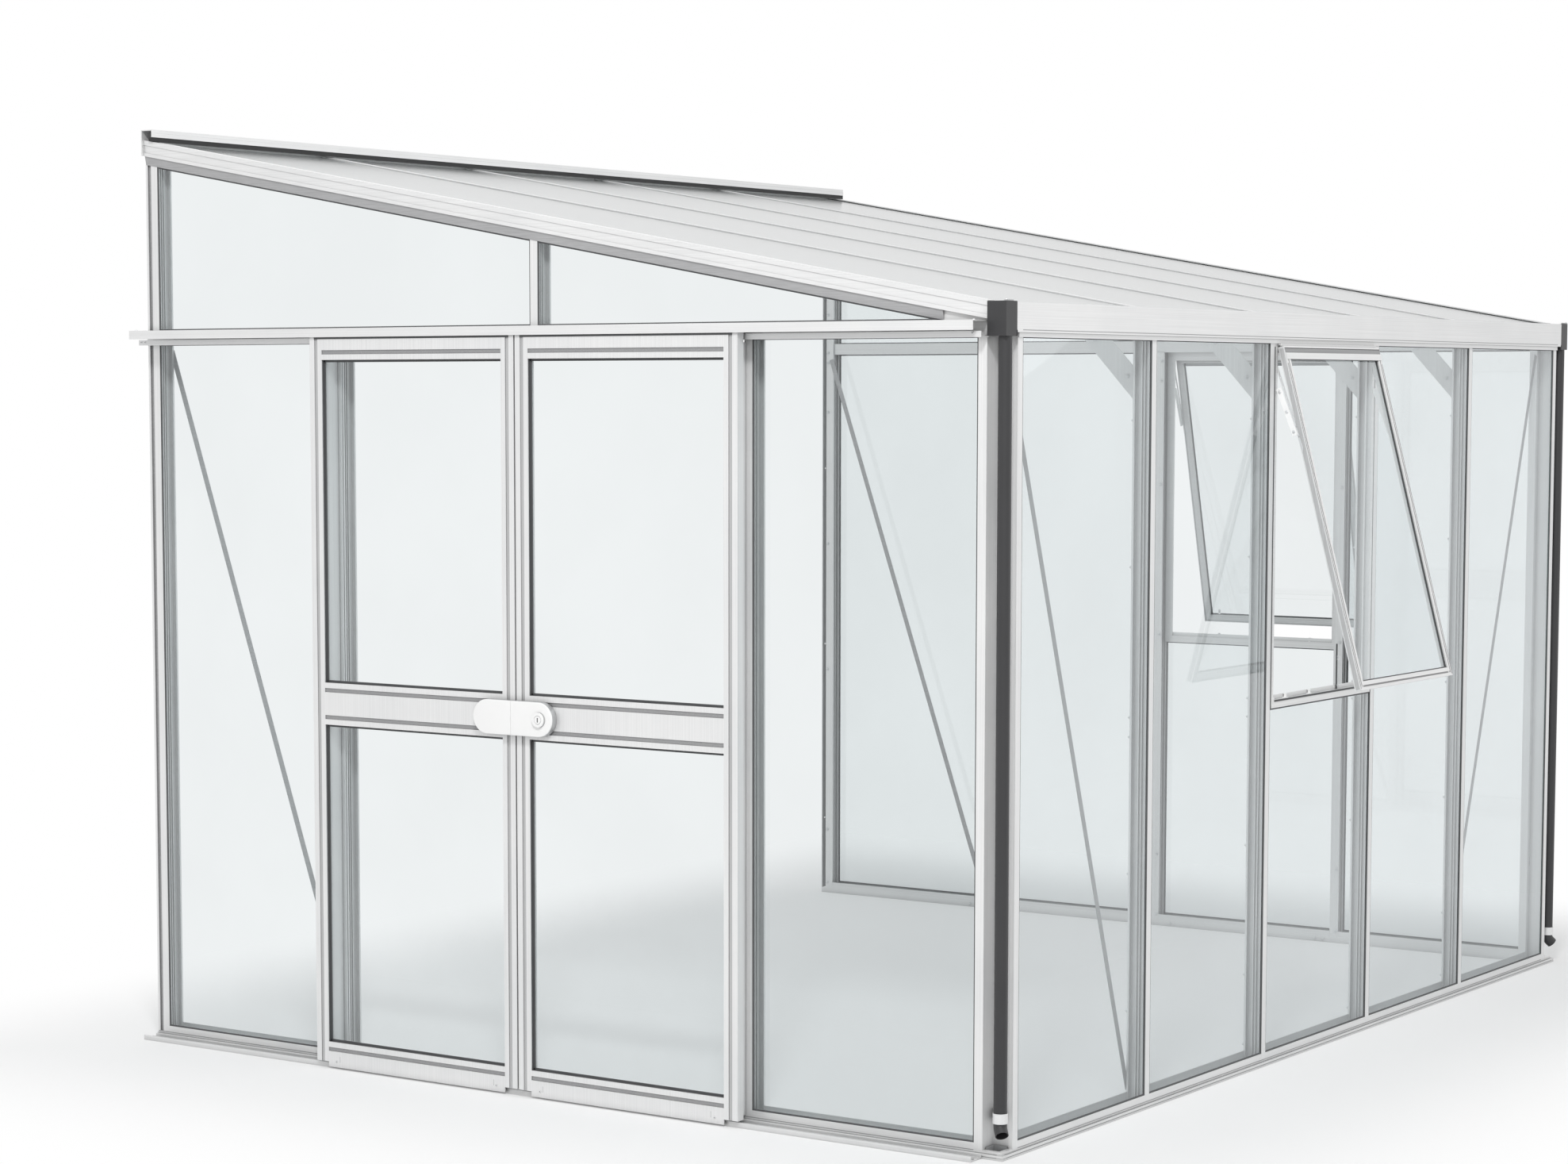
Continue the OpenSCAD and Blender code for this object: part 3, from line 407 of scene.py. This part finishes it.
def leaf_details(side, body):
    """Painted shade on the groove floors, glazing seals, top seal and guide screws of one sliding leaf."""
    left = side == "left"
    hinge = DOOR_MID + (MEET / 2 + LEAF_W) * (1 if left else -1)

    def spot(depth, a, z):
        """Point on the leaf: depth in from its outer face, a from its outer stile's edge."""
        return at(LEAF_X + depth, hinge + (-a if left else a), z)

    out = -X
    # grey strips on the groove floors: painted shade, darker in the cross grooves than in the upright ones, as the
    # light falls
    cross, along = Kit(), Kit()
    for z0, z1 in (LOW_PANE, HIGH_PANE):
        for z in (z0 - 16 - GROOVE / 2, z1 + 16 + GROOVE / 2):
            cross.strip(spot(GROOVE_DEEP, STILE, z), spot(GROOVE_DEEP, LEAF_W - STILE, z), Z, GROOVE - 0.4, out, 0.6)
    for a in (LIP_W + GROOVE / 2, LEAF_W - LIP_W - GROOVE / 2):
        along.strip(spot(GROOVE_DEEP, a, LEAF_Z + 16), spot(GROOVE_DEEP, a, LEAF_TOP - 0.5), Y, GROOVE - 0.4, out, 0.5)
    cross.make("door_%s_groove_shade_cross" % side, GREY_X, body)
    along.make("door_%s_groove_shade_along" % side, GREY_Z, body)

    seal = Kit()
    glass_out = (LEAF_T - 4) / 2
    lip, leg, thin = 7.0, 9.0, 0.9
    for z0, z1 in (LOW_PANE, HIGH_PANE):
        frame_edges = (
            (spot(glass_out, STILE, z0), spot(glass_out, LEAF_W - STILE, z0), Z),
            (spot(glass_out, STILE, z1), spot(glass_out, LEAF_W - STILE, z1), -Z),
            (spot(glass_out, STILE, z0), spot(glass_out, STILE, z1), -Y if left else Y),
            (spot(glass_out, LEAF_W - STILE, z0), spot(glass_out, LEAF_W - STILE, z1), Y if left else -Y))
        for a, b, inward in frame_edges:
            seal.sweep([(0.05, 0.1), (lip, 0.1), (lip, 0.8), (lip - 1.2, 2.0), (thin, 2.0), (thin, leg), (0.05, leg)],
                       a, b, inward, out)
    z_top = LEAF_TOP - 12.8
    seal.strip(spot(0, LIP_W, z_top), spot(0, LEAF_W - LIP_W, z_top), Z, 5.6, out, 1.6)
    seal.make("door_%s_seals" % side, SEAL, body)

    places = [(spot(0, a, 22.5), out, 3.6) for a in (77.0, LEAF_W - 77.0)]
    screws("door_%s_guide_screws" % side, places, body)
    joint = Kit()
    for a in (90.0, LEAF_W - 87.0):
        joint.strip(spot(0, a, 21), spot(0, a, 38), Y, 1.2, out, 0.3, edge=0.1)
    joint.make("door_%s_guide_joints" % side, GREY_Z, body)


def handle(side, body):
    """Lock handle with rounded front edges; the right one carries the lock's knob and key slit."""
    left = side == "left"
    sign = 1 if left else -1
    long, r, z0, out, knob_in = (137.0 if left else 146.0), 49.0, 1088.0, 25.0, 102.0
    start = 0.6
    outline = [(start, -r), (long - r, -r)]
    outline += [(long - r + r * math.sin(t), -r * math.cos(t)) for t in (math.pi * k / 24 for k in range(1, 24))]
    outline += [(long - r, r), (start, r)]
    turn_a = long - r

    def ring(depth, inset):
        """The outline drawn in by an inset, at a depth in front of the leaf."""
        pts = []
        k = (r - inset) / r
        for a, b in outline:
            reach = a if a <= turn_a else turn_a + (a - turn_a) * k
            pts.append(at(LEAF_X - depth, DOOR_MID + sign * reach, z0 + b * k))
        return pts

    kit = Kit()
    bend = 2.6
    seam = out - bend - 3.0
    steps = [(seam - 1.0, 0.4), (out - bend, 0.0)]
    steps += [(out - bend + bend * math.sin(t), bend * (1 - math.cos(t))) for t in (math.pi * k / 12 for k in range(1, 7))]
    kit.loft([ring(d, i) for d, i in steps])
    # a darker grey metal band round the handle's sides, with the white cap only in front: painted shade on the sides
    band = Kit()
    band.loft([ring(d, i) for d, i in ((0.3, 0.0), (seam, 0.0))])
    band.make("door_%s_shaded_side_band" % side, SHADE, body)
    if not left:
        centre = at(LEAF_X - out, DOOR_MID - knob_in, z0)
        # the knob's side in pale grey: painted shade on it
        knob = Kit()
        knob.lathe([(22, -1), (22, 1.2), (21, 1.8), (20.4, 5.4)], centre, -X, turn=48)
        knob.make("door_right_knob_shaded_side", GREY_Z, body)
        kit.lathe([(20, 5.0), (21, 5.4), (21, 7.2), (20.2, 7.8), (13.0, 7.8), (12.6, 6.7), (11.2, 6.7), (10.8, 7.8),
                   (0.5, 7.8)], centre, -X, turn=48)
    ob = kit.make("door_%s_grip" % side, WHITE, body)
    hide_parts("door_%s_handle" % side)
    if not left:
        lock = Kit()
        lock.lathe([(12.5, 6.4), (12.5, 6.8), (11.3, 6.8)], centre, -X, turn=32)
        lock.make("door_right_lock_barrel", GREY_Z, body)
        # the key slit as a dark strip: painted shade in the slit
        slit = Kit()
        slit.strip(centre - X * 7.7 * MM - Z * 6.5 * MM, centre - X * 7.7 * MM + Z * 6.5 * MM, Y, 3.2, -X, 0.22, edge=0.01)
        slit.make("door_right_key_slit", SLOT, body)


def door_liners():
    """Uprights that close the gap between the sliding leaves and the door posts behind them."""
    kit = Kit()
    corners = ((-37.2, 1), (-36.2, 0), (7.5, 0), (7.5, 18), (-36.2, 18), (-37.2, 17))
    for y, turn in ((FIRST + 3 * BAY, 1), (2 * DOOR_MID - FIRST - 3 * BAY, -1)):
        kit.loft([[at(x, y + turn * v, z) for x, v in corners] for z in (24, 2140)])
    kit.make("door_liners", ALU[2], "greenhouse")


def pane_seals():
    """Dark glazing seals beside the bars and along the head and foot of the fixed panes."""
    kit = Kit()
    wide, thick = 4.4, 2.6
    section = [(0, 0), (wide, 0), (wide, 0.9), (wide - 1.6, thick), (0, thick)]
    low, high = SILL_H + BEAD_H, FRAME_TOP

    def edges(spot, out, along, a0, a1, z0, z1):
        kit.sweep(section, spot(a0, z0), spot(a0, z1), along, out)
        kit.sweep(section, spot(a1, z0), spot(a1, z1), -along, out)
        kit.sweep(section, spot(a0, z0), spot(a1, z0), Z, out)
        kit.sweep(section, spot(a0, z1), spot(a1, z1), -Z, out)

    half = FACE_W / 2
    for i in range(5):
        a0 = FIRST + i * BAY + half
        a1 = a0 + BAY - FACE_W
        top = 1070.0 - 0.3 if i == 2 else high
        edges(lambda a, z: at(a, PANE, z), -Y, X, a0, a1, low, top)
    for i in range(4):
        a0 = FIRST + i * BAY + half
        a1 = a0 + BAY - FACE_W
        if i in (0, 3):
            edges(lambda a, z: at(PANE, a, z), -X, Y, a0, a1, low, high)
        top = 1070.0 - 0.3 if i == 1 else high
        edges(lambda a, z: at(LONG - PANE, a, z), X, Y, a0, a1, low, top)
    kit.make("pane_seals", SEAL, "greenhouse")


def top_pane_seals():
    """Seals of the two sloping panes over the header, in both gables."""
    kit = Kit()
    wide, thick = 4.4, 2.6
    section = [(0, 0), (wide, 0), (wide, 0.9), (wide - 1.6, thick), (0, thick)]
    half = FACE_W / 2
    slope = Vector((0, math.cos(PITCH), math.sin(PITCH)))
    down = Vector((0, math.sin(PITCH), -math.cos(PITCH)))
    drop = (VERGE_DROP + 26.0) / math.cos(PITCH)
    for x, out in ((PANE, -X), (LONG - PANE, X)):
        for a0, a1 in ((None, FIRST + 2 * BAY - half), (FIRST + 2 * BAY + half, WALL_LINE - half)):
            if a0 is None:
                a0 = (HEADER_TOP - ROOF_Z + drop) / math.tan(PITCH)
            else:
                kit.sweep(section, at(x, a0, HEADER_TOP), at(x, a0, roof_z(a0) - drop), Y, out)
            kit.sweep(section, at(x, a1, HEADER_TOP), at(x, a1, roof_z(a1) - drop), -Y, out)
            kit.sweep(section, at(x, a0, HEADER_TOP), at(x, a1, HEADER_TOP), Z, out)
            kit.sweep(section, at(x, a0, roof_z(a0) - drop), at(x, a1, roof_z(a1) - drop), down, out)
    kit.make("top_pane_seals", SEAL, "greenhouse")


def frame_bolts():
    """Nuts on the bars' inner flanges, on the sills and at the braces' ends."""
    kit = Kit()
    wall_places = (2307, 2157, 2118, 1923, 1401, 900, 256, 42)
    for x, axis in ((LONG - INNER, -X), (INNER, X)):
        for z in wall_places:
            kit.nut(at(x, WALL_LINE + 8, z), axis)
    for i in (1, 2, 3):
        for z in (2118, 2045, 1660, 1100, 271, 42):
            kit.nut(at(LONG - INNER, FIRST + i * BAY - 7, z), -X)
        for a in (-66, 44, 76):
            kit.nut(at(LONG - CORNER_IN, FIRST + i * BAY + a, 12), -X, stud=2.5)
    for i in (1, 3):
        for z in (2118, 2045, 1660, 1100, 271, 42):
            kit.nut(at(INNER, FIRST + i * BAY - 7, z), X)
    for i in (1, 2, 3, 4):
        for z in (1927, 1520, 1100, 1045, 660, 271, 60):
            kit.nut(at(FIRST + i * BAY - (0 if z == 1927 else 8), INNER + (2.8 if z == 1927 else 0), z), Y)
        for a in (-66, 44):
            kit.nut(at(FIRST + i * BAY + a, CORNER_IN, 12), Y, stud=2.5)
    kit.make("frame_bolts", STEEL, "greenhouse")


def knees():
    """Flat plates in the angle between each front post and its rafter, with a bent foot at both ends."""
    kit, bolts = Kit(), Kit()
    inner = INNER + 0.3

    def under(y):
        return 2148.7 + math.tan(PITCH) * y
    corners = [(inner, 1979), (inner, 2070), (168, under(168) - 0.4), (270, under(270) - 0.4)]
    thick = 3.0
    for i in (1, 2, 3, 4):
        x = FIRST + i * BAY
        kit.loft([[at(x + s, y, z) for y, z in corners] for s in (-thick / 2, thick / 2)])
        kit.strip(at(x, inner, 1890), at(x, inner, 2072), X, 20, Y, 2.5)
        slope = Vector((0, math.cos(PITCH), math.sin(PITCH)))
        kit.strip(at(x, 166, under(166) - 0.3), at(x, 350, under(350) - 0.3), X, 20, slope.cross(X), 2.5)
        for y, z in ((92, 2050), (196, 2152)):
            bolts.nut(at(x - thick / 2, y, z), -X, stud=2.5)
            bolts.lathe([(5, 0), (5, 1.6), (3.6, 2.9), (1.2, 3.3)], at(x + thick / 2, y, z), X)
        bolts.nut(at(x, 330, under(330) - 3.2), slope.cross(X), stud=2.5)
    plates = kit.make("knee_plates", ALU[2], "greenhouse")
    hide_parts("knee_braces")
    bolts.make("knee_bolts", STEEL, "greenhouse")


def window_details(name, spot, along, out):
    """Trim of one hung window: spot(a, d, z) is a along the bay from its first bar's centre, d in from
    the sill's edge."""
    w0, w1 = FACE_W / 2 + 0.3, BAY - FACE_W / 2 - 0.3
    rail_top = HINGE_Z - SASH_LEN + 4
    inward = -out
    dark, pale, grey, side, steel, white = (Kit() for k in range(6))
    face = RECESS
    for a, wide in ((w0 + 3.2, 5.6), (w1 - 2.0, 3.0)):
        dark.strip(spot(a, face, rail_top - 32), spot(a, face, FRAME_TOP - 12), along, wide, out, 0.8)
    dark.strip(spot(w0 + JAMB_W + 8, face, rail_top - 11), spot(w1 - JAMB_W - 8, face, rail_top - 11), Z, 5.6, out, 1.4)
    pale.strip(spot(w0 + JAMB_W + 8, face + 15.2, rail_top - 3), spot(w1 - JAMB_W - 8, face + 15.2, rail_top - 3),
               Z, 16, out, 1.6)
    for a in (134.0, 298.0):
        white.lathe([(7, 0), (7, 2), (4.6, 3), (4.0, 9), (5.4, 11), (5.4, 13), (3.0, 14.5)],
                    spot(a, face + 9, rail_top - 8), Z)
        white.strip(spot(a - 13, face + 9, rail_top - 8), spot(a + 13, face + 9, rail_top - 8), out, 9, Z, 2.0)
    rod_a = 498.0
    if name == "front_window":
        dark.lathe([(2.6, 0), (2.6, 138), (1.6, 139.5)], spot(rod_a, face + 12, rail_top - 8), Z, turn=12)
    for z in (4, 84, 92):
        steel.nut(spot(rod_a + 4, face + 10, rail_top + z), out, r=4.6, h=3.4, stud=2)

    c, s = math.cos(TILT), math.sin(TILT)
    first = BAY / 2 - (BAY - FACE_W - 2 * JAMB_W) / 2

    def on_sash(u, v, lift=0.0):
        """Point on the sash's outer face: u across it, v down from its hinge."""
        d = -(SASH_T + lift) * c - v * s
        return spot(first + u, RECESS - 0.3 + d, HINGE_Z + (SASH_T + lift) * s - v * c)
    sash_w = BAY - FACE_W - 2 * JAMB_W
    down = (on_sash(0, 100) - on_sash(0, 0)).normalized()
    lift = (on_sash(0, 0, 10) - on_sash(0, 0)).normalized()
    # grey strip in the sash head's groove: painted shade
    grey.strip(on_sash(0.5, 14.6), on_sash(sash_w - 0.5, 14.6), down, 12.4, lift, 0.7)
    pale.strip(on_sash(0.5, 30.6), on_sash(sash_w - 0.5, 30.6), down, 19.6, lift, 1.6)
    dark.strip(on_sash(SASH_BAR, 41.4), on_sash(sash_w - SASH_BAR, 41.4), down, 2.6, lift, 1.0)
    # dark line along the top of the sash head, made in the seal rubber: painted shade at the groove's edge
    dark.strip(on_sash(0.5, 6.6), on_sash(sash_w - 0.5, 6.6), down, 2.2, lift, 0.9)
    low = SASH_LEN - SASH_BAR
    for u, turn in ((0.0, -along), (sash_w, along)):
        # grey strips over the sash's side faces: painted shade on them
        side.strip(on_sash(u, 6, -10), on_sash(u, SASH_LEN - 4, -10), lift, 13, turn, 0.4)
        inner = u - turn.dot(along) * 2.6
        dark.strip(on_sash(inner, 52), on_sash(inner, SASH_LEN - 5), along, 2.0, lift, 0.35)
    # grey strips in the grooves of the sash's foot and stiles: painted shade
    grey.strip(on_sash(SASH_BAR, low + 14.5, -1.9), on_sash(sash_w - SASH_BAR, low + 14.5, -1.9), down, 4.6, lift, 0.5)
    for u in (11.5, sash_w - 11.5):
        grey.strip(on_sash(u, 24, -1.9), on_sash(u, SASH_LEN - 12, -1.9), along, 4.6, lift, 0.5)
    seal = [(0, 0), (3.6, 0), (3.6, 0.8), (2.4, 1.9), (0, 1.9)]
    pane_d = -6.0
    for u, turn in ((SASH_BAR, along), (sash_w - SASH_BAR, -along)):
        dark.sweep(seal, on_sash(u, SASH_BAR, pane_d), on_sash(u, low, pane_d), turn, lift)
    dark.sweep(seal, on_sash(SASH_BAR, low, pane_d), on_sash(sash_w - SASH_BAR, low, pane_d), -down, lift)

    for a, turn in ((FACE_W / 2 + JAMB_W - 2.6, -along), (BAY - FACE_W / 2 - JAMB_W + 2.6, along)):
        arm_top = spot(a, RECESS - 6, HINGE_Z - 120)
        arm_end = spot(a, RECESS - 62, HINGE_Z - 258)
        run = (arm_end - arm_top).normalized()
        wide = along.cross(run)
        white.strip(arm_top, arm_end, wide, 17, turn, 2.2)
        for k in (0.08, 0.5, 0.92):
            steel.nut(arm_top.lerp(arm_end, k) + turn * 2.2 * MM, turn, r=4.2, h=3.2, stud=2)
    dark.make(name + "_seals", SEAL, "greenhouse")
    pale.make(name + "_strips", ALU[1] if abs(along.y) > 0.5 else ALU[0], "greenhouse")
    grey.make(name + "_shaded_grooves", GREY_X, "greenhouse")
    side.make(name + "_shaded_sides", GREY_Z, "greenhouse")
    steel.make(name + "_fixings", STEEL, "greenhouse")
    white.make(name + "_catches", WHITE, "greenhouse")


def small_trim():
    """Painted shade on the wall posts' groove floors and the verge's bead, sill lines of painted shade, and the
    hoppers' tabs.
    """
    grey, dark = Kit(), Kit()
    slope = Vector((0, math.cos(PITCH), math.sin(PITCH)))
    # grey strips on the wall posts' groove floors: painted shade
    for x, out in ((RECESS + 6, -X), (LONG - RECESS - 6, X)):
        grey.strip(at(x, 3040, SILL_H + 0.5), at(x, 3040, roof_z(3040) - 68.5), Y, 13, out, 0.5)
    # grey wedge on the bead under the verge: painted shade
    for near in (True, False):
        side = 1 if near else -1
        base = 0.0 if near else LONG

        def edge(x, drop, y):
            z = roof_z(y) - drop / math.cos(PITCH)
            return at(base + side * x, y, z)
        y0 = (HEADER_TOP - ROOF_Z + (VERGE_DROP + 26) / math.cos(PITCH)) / math.tan(PITCH) + 4
        section = [(2.2, VERGE_DROP + 0.3), (RECESS - 0.1, VERGE_DROP + 0.3), (RECESS - 0.1, VERGE_DROP + 25.5),
                   (RECESS - 1.6, VERGE_DROP + 25.5)]
        ends = (max(y0, 190.0), WALL_Y - 4)
        grey.loft([[edge(x, d, y) for x, d in section] for y in ends])
    grey.make("shaded_trim", GREY_Y, "greenhouse")

    # dark lines along the sills' grooves and creases and along the gutter's lower edge: painted shade
    line = 1.9
    z = 6.0
    for x, wide in ((3.4, 1.1), (5.6, 1.1)):
        lift = 12.35 + x * 4 / RECESS
        dark.strip(at(x, 20, lift - 0.4), at(x, WALL_Y - 1, lift - 0.4), X, wide, Z, 0.3, edge=0.05)
        dark.strip(at(20, x, lift - 0.4), at(LONG - 20, x, lift - 0.4), Y, wide, Z, 0.3, edge=0.05)
        dark.strip(at(LONG - x, 20, lift - 0.4), at(LONG - x, WALL_Y - 1, lift - 0.4), X, wide, Z, 0.3, edge=0.05)
    for u, v, out in ((at(RECESS, 94, 18.6), at(RECESS, WALL_Y - 1, 18.6), -X),
                      (at(94, RECESS, 18.6), at(LONG - 94, RECESS, 18.6), -Y),
                      (at(LONG - RECESS, 94, 18.6), at(LONG - RECESS, WALL_Y - 1, 18.6), X)):
        dark.strip(u, v, Z, 2.0, out, 0.15, edge=0.05)
    dark.strip(at(0.9, 20, z), at(0.9, WALL_Y - 1, z), Z, line, -X, 0.2, edge=0.05)
    dark.strip(at(20, 0.9, z), at(LONG - 20, 0.9, z), Z, line, -Y, 0.2, edge=0.05)
    dark.strip(at(LONG - 0.9, 20, z), at(LONG - 0.9, WALL_Y - 1, z), Z, line, X, 0.2, edge=0.05)
    g0, g1 = (Vector(p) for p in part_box("gutter"))
    dark.strip(Vector((g0.x + 0.03, g0.y, g0.z + 0.006)), Vector((g1.x - 0.03, g0.y, g0.z + 0.006)),
               Z, 2.0, -Y, 0.2, edge=0.05)
    dark.make("sill_shade_lines", GREY_X, "greenhouse")

    tabs, foot = Kit(), Kit()
    places = []
    for near in (True, False):
        side = 1 if near else -1
        base = 0.0 if near else LONG
        tabs.strip(at(base - side * 7, 4, 2240.2), at(base + side * 30, 4, 2240.2), Y, 7, Z, 3.2)
        places.append((at(base - side * 2, 4, 2243.4), Z, 4.0))
        foot.strip(at(base + side * 47.4, 3, 2150.3), at(base + side * 47.4, 3, 2166), X, 5.6, -Y, 3.0)
    tabs.make("hopper_tabs", GREY_Z, "greenhouse")
    foot.make("hopper_feet", BLACK, "greenhouse")
    screws("hopper_screws", places, "greenhouse")

    places = [(at(-60, 66, 2191.2), Z, 4.2), (at(-60, WALL_Y - 18, 2191.2), Z, 4.2),
              (at(-31, 86, 2158), -X, 5.0), (at(-31, WALL_Y - 11, 2156), -X, 3.2),
              (at(-31, WALL_Y - 27, 2156), -X, 3.2), (at(-44, 74, 3), Z, 3.6),
              (at(30, 44, 5.3), Z, 4.0), (at(44, 30, 5.3), Z, 4.0),
              (at(LONG - 30, 44, 5.3), Z, 4.0), (at(LONG - 44, 30, 5.3), Z, 4.0)]
    screws("frame_screws", places, "greenhouse")


# Stage: floor, light and camera

def seen(nt):
    """1 for rays that show a backdrop: from the camera, in reflections and through glass."""
    lp = nt.nodes.new("ShaderNodeLightPath")
    first = put(nt, "ShaderNodeMath", operation="MAXIMUM")
    nt.links.new(lp.outputs["Is Camera Ray"], first.inputs[0])
    nt.links.new(lp.outputs["Is Glossy Ray"], first.inputs[1])
    both = put(nt, "ShaderNodeMath", operation="MAXIMUM")
    nt.links.new(first.outputs[0], both.inputs[0])
    nt.links.new(lp.outputs["Is Transmission Ray"], both.inputs[1])
    return both.outputs[0]


def floor_material():
    """Pale floor that keeps the object's shadow and runs into the white backdrop further off."""
    m, nt, out = new_mat("floor_pale")
    cloud = noise(nt, coords(nt, (1, 1, 1)), 0.8, 5.0)
    col = ramp(nt, cloud, [(0.3, (0.915, 0.918, 0.92)), (0.7, (0.93, 0.932, 0.934))])
    b = put(nt, "ShaderNodeBsdfPrincipled", Roughness=0.8)
    b.inputs["Specular IOR Level"].default_value = 0.05
    nt.links.new(col, b.inputs["Base Color"])
    white = put(nt, "ShaderNodeEmission", Strength=1.0)
    geo = nt.nodes.new("ShaderNodeNewGeometry")
    side = put(nt, "ShaderNodeVectorMath", operation="ABSOLUTE")
    nt.links.new(geo.outputs["Position"], side.inputs[0])
    share = put(nt, "ShaderNodeVectorMath", operation="DIVIDE")
    nt.links.new(side.outputs[0], share.inputs[0])
    share.inputs[1].default_value = (2.1, 1.66, 1.0)
    parts = nt.nodes.new("ShaderNodeSeparateXYZ")
    nt.links.new(share.outputs[0], parts.inputs[0])
    away = put(nt, "ShaderNodeMath", operation="MAXIMUM")
    nt.links.new(parts.outputs[0], away.inputs[0])
    nt.links.new(parts.outputs[1], away.inputs[1])
    fade = put(nt, "ShaderNodeMapRange", interpolation_type="SMOOTHSTEP")
    fade.inputs["From Min"].default_value = 0.97
    fade.inputs["From Max"].default_value = 1.6
    fade.inputs["To Min"].default_value = 0.25
    nt.links.new(away.outputs["Value"], fade.inputs["Value"])
    amount = put(nt, "ShaderNodeMath", operation="MULTIPLY")
    nt.links.new(fade.outputs[0], amount.inputs[0])
    nt.links.new(seen(nt), amount.inputs[1])
    mx = nt.nodes.new("ShaderNodeMixShader")
    nt.links.new(amount.outputs[0], mx.inputs[0])
    nt.links.new(b.outputs[0], mx.inputs[1])
    nt.links.new(white.outputs[0], mx.inputs[2])
    nt.links.new(mx.outputs[0], out.inputs[0])
    return m


def stage():
    bpy.ops.mesh.primitive_plane_add(size=60, location=(0, 0, -0.0005))
    floor = bpy.context.object
    floor.name = "floor"
    floor.data.materials.append(floor_material())

    w = bpy.data.worlds.new("studio")
    bpy.context.scene.world = w
    w.use_nodes = True
    nt = w.node_tree
    nt.nodes.clear()
    out = nt.nodes.new("ShaderNodeOutputWorld")
    soft = put(nt, "ShaderNodeBackground", Strength=0.6)
    soft.inputs[0].default_value = (1.0, 1.0, 1.0, 1)
    plain = put(nt, "ShaderNodeBackground", Strength=1.0)
    plain.inputs[0].default_value = (1, 1, 1, 1)
    mx = nt.nodes.new("ShaderNodeMixShader")
    nt.links.new(seen(nt), mx.inputs[0])
    nt.links.new(soft.outputs[0], mx.inputs[1])
    nt.links.new(plain.outputs[0], mx.inputs[2])
    nt.links.new(mx.outputs[0], out.inputs[0])

    def area(name, loc, aim, size, power):
        d = bpy.data.lights.new(name, "AREA")
        d.shape, d.size, d.energy = "DISK", size, power
        o = bpy.data.objects.new(name, d)
        o.location = loc
        o.rotation_euler = (Vector(aim) - Vector(loc)).to_track_quat("-Z", "Y").to_euler()
        bpy.context.collection.objects.link(o)
    area("key", (-7.0, -3.8, 7.0), (0, 0, 1.2), 1.3, 345)
    area("fill", (5.5, -7.0, 4.0), (0, 0, 1.2), 5.0, 24)
    area("top", (1.0, 3.5, 8.0), (0, 0, 1.0), 5.0, 62)


for side in ("left", "right"):
    leaf_details(side, "door_" + side)
    handle(side, "door_" + side)
door_liners()
pane_seals()
top_pane_seals()
frame_bolts()
knees()
window_details("front_window", lambda a, d, z: at(FIRST + 2 * BAY + a, d, z), X, -Y)
window_details("far_window", lambda a, d, z: at(LONG - d, FIRST + BAY + a, z), Y, X)
small_trim()
stage()

cam_data = bpy.data.cameras.new("camera")
cam_data.sensor_fit, cam_data.sensor_width = "HORIZONTAL", 36.0
cam_data.lens, cam_data.shift_x, cam_data.shift_y = 78.61, 0.0245, 0.0683
cam_data.clip_start, cam_data.clip_end = 0.1, 200
cam = bpy.data.objects.new("camera", cam_data)
cam.location = (G0.x - 7.6342, G0.y - 4.4684, 2.0135)
cam.rotation_euler = (math.radians(90 - 5.003), 0, math.radians(-55.30))
bpy.context.collection.objects.link(cam)
sc = bpy.context.scene
sc.camera = cam
sc.view_settings.view_transform = "Standard"
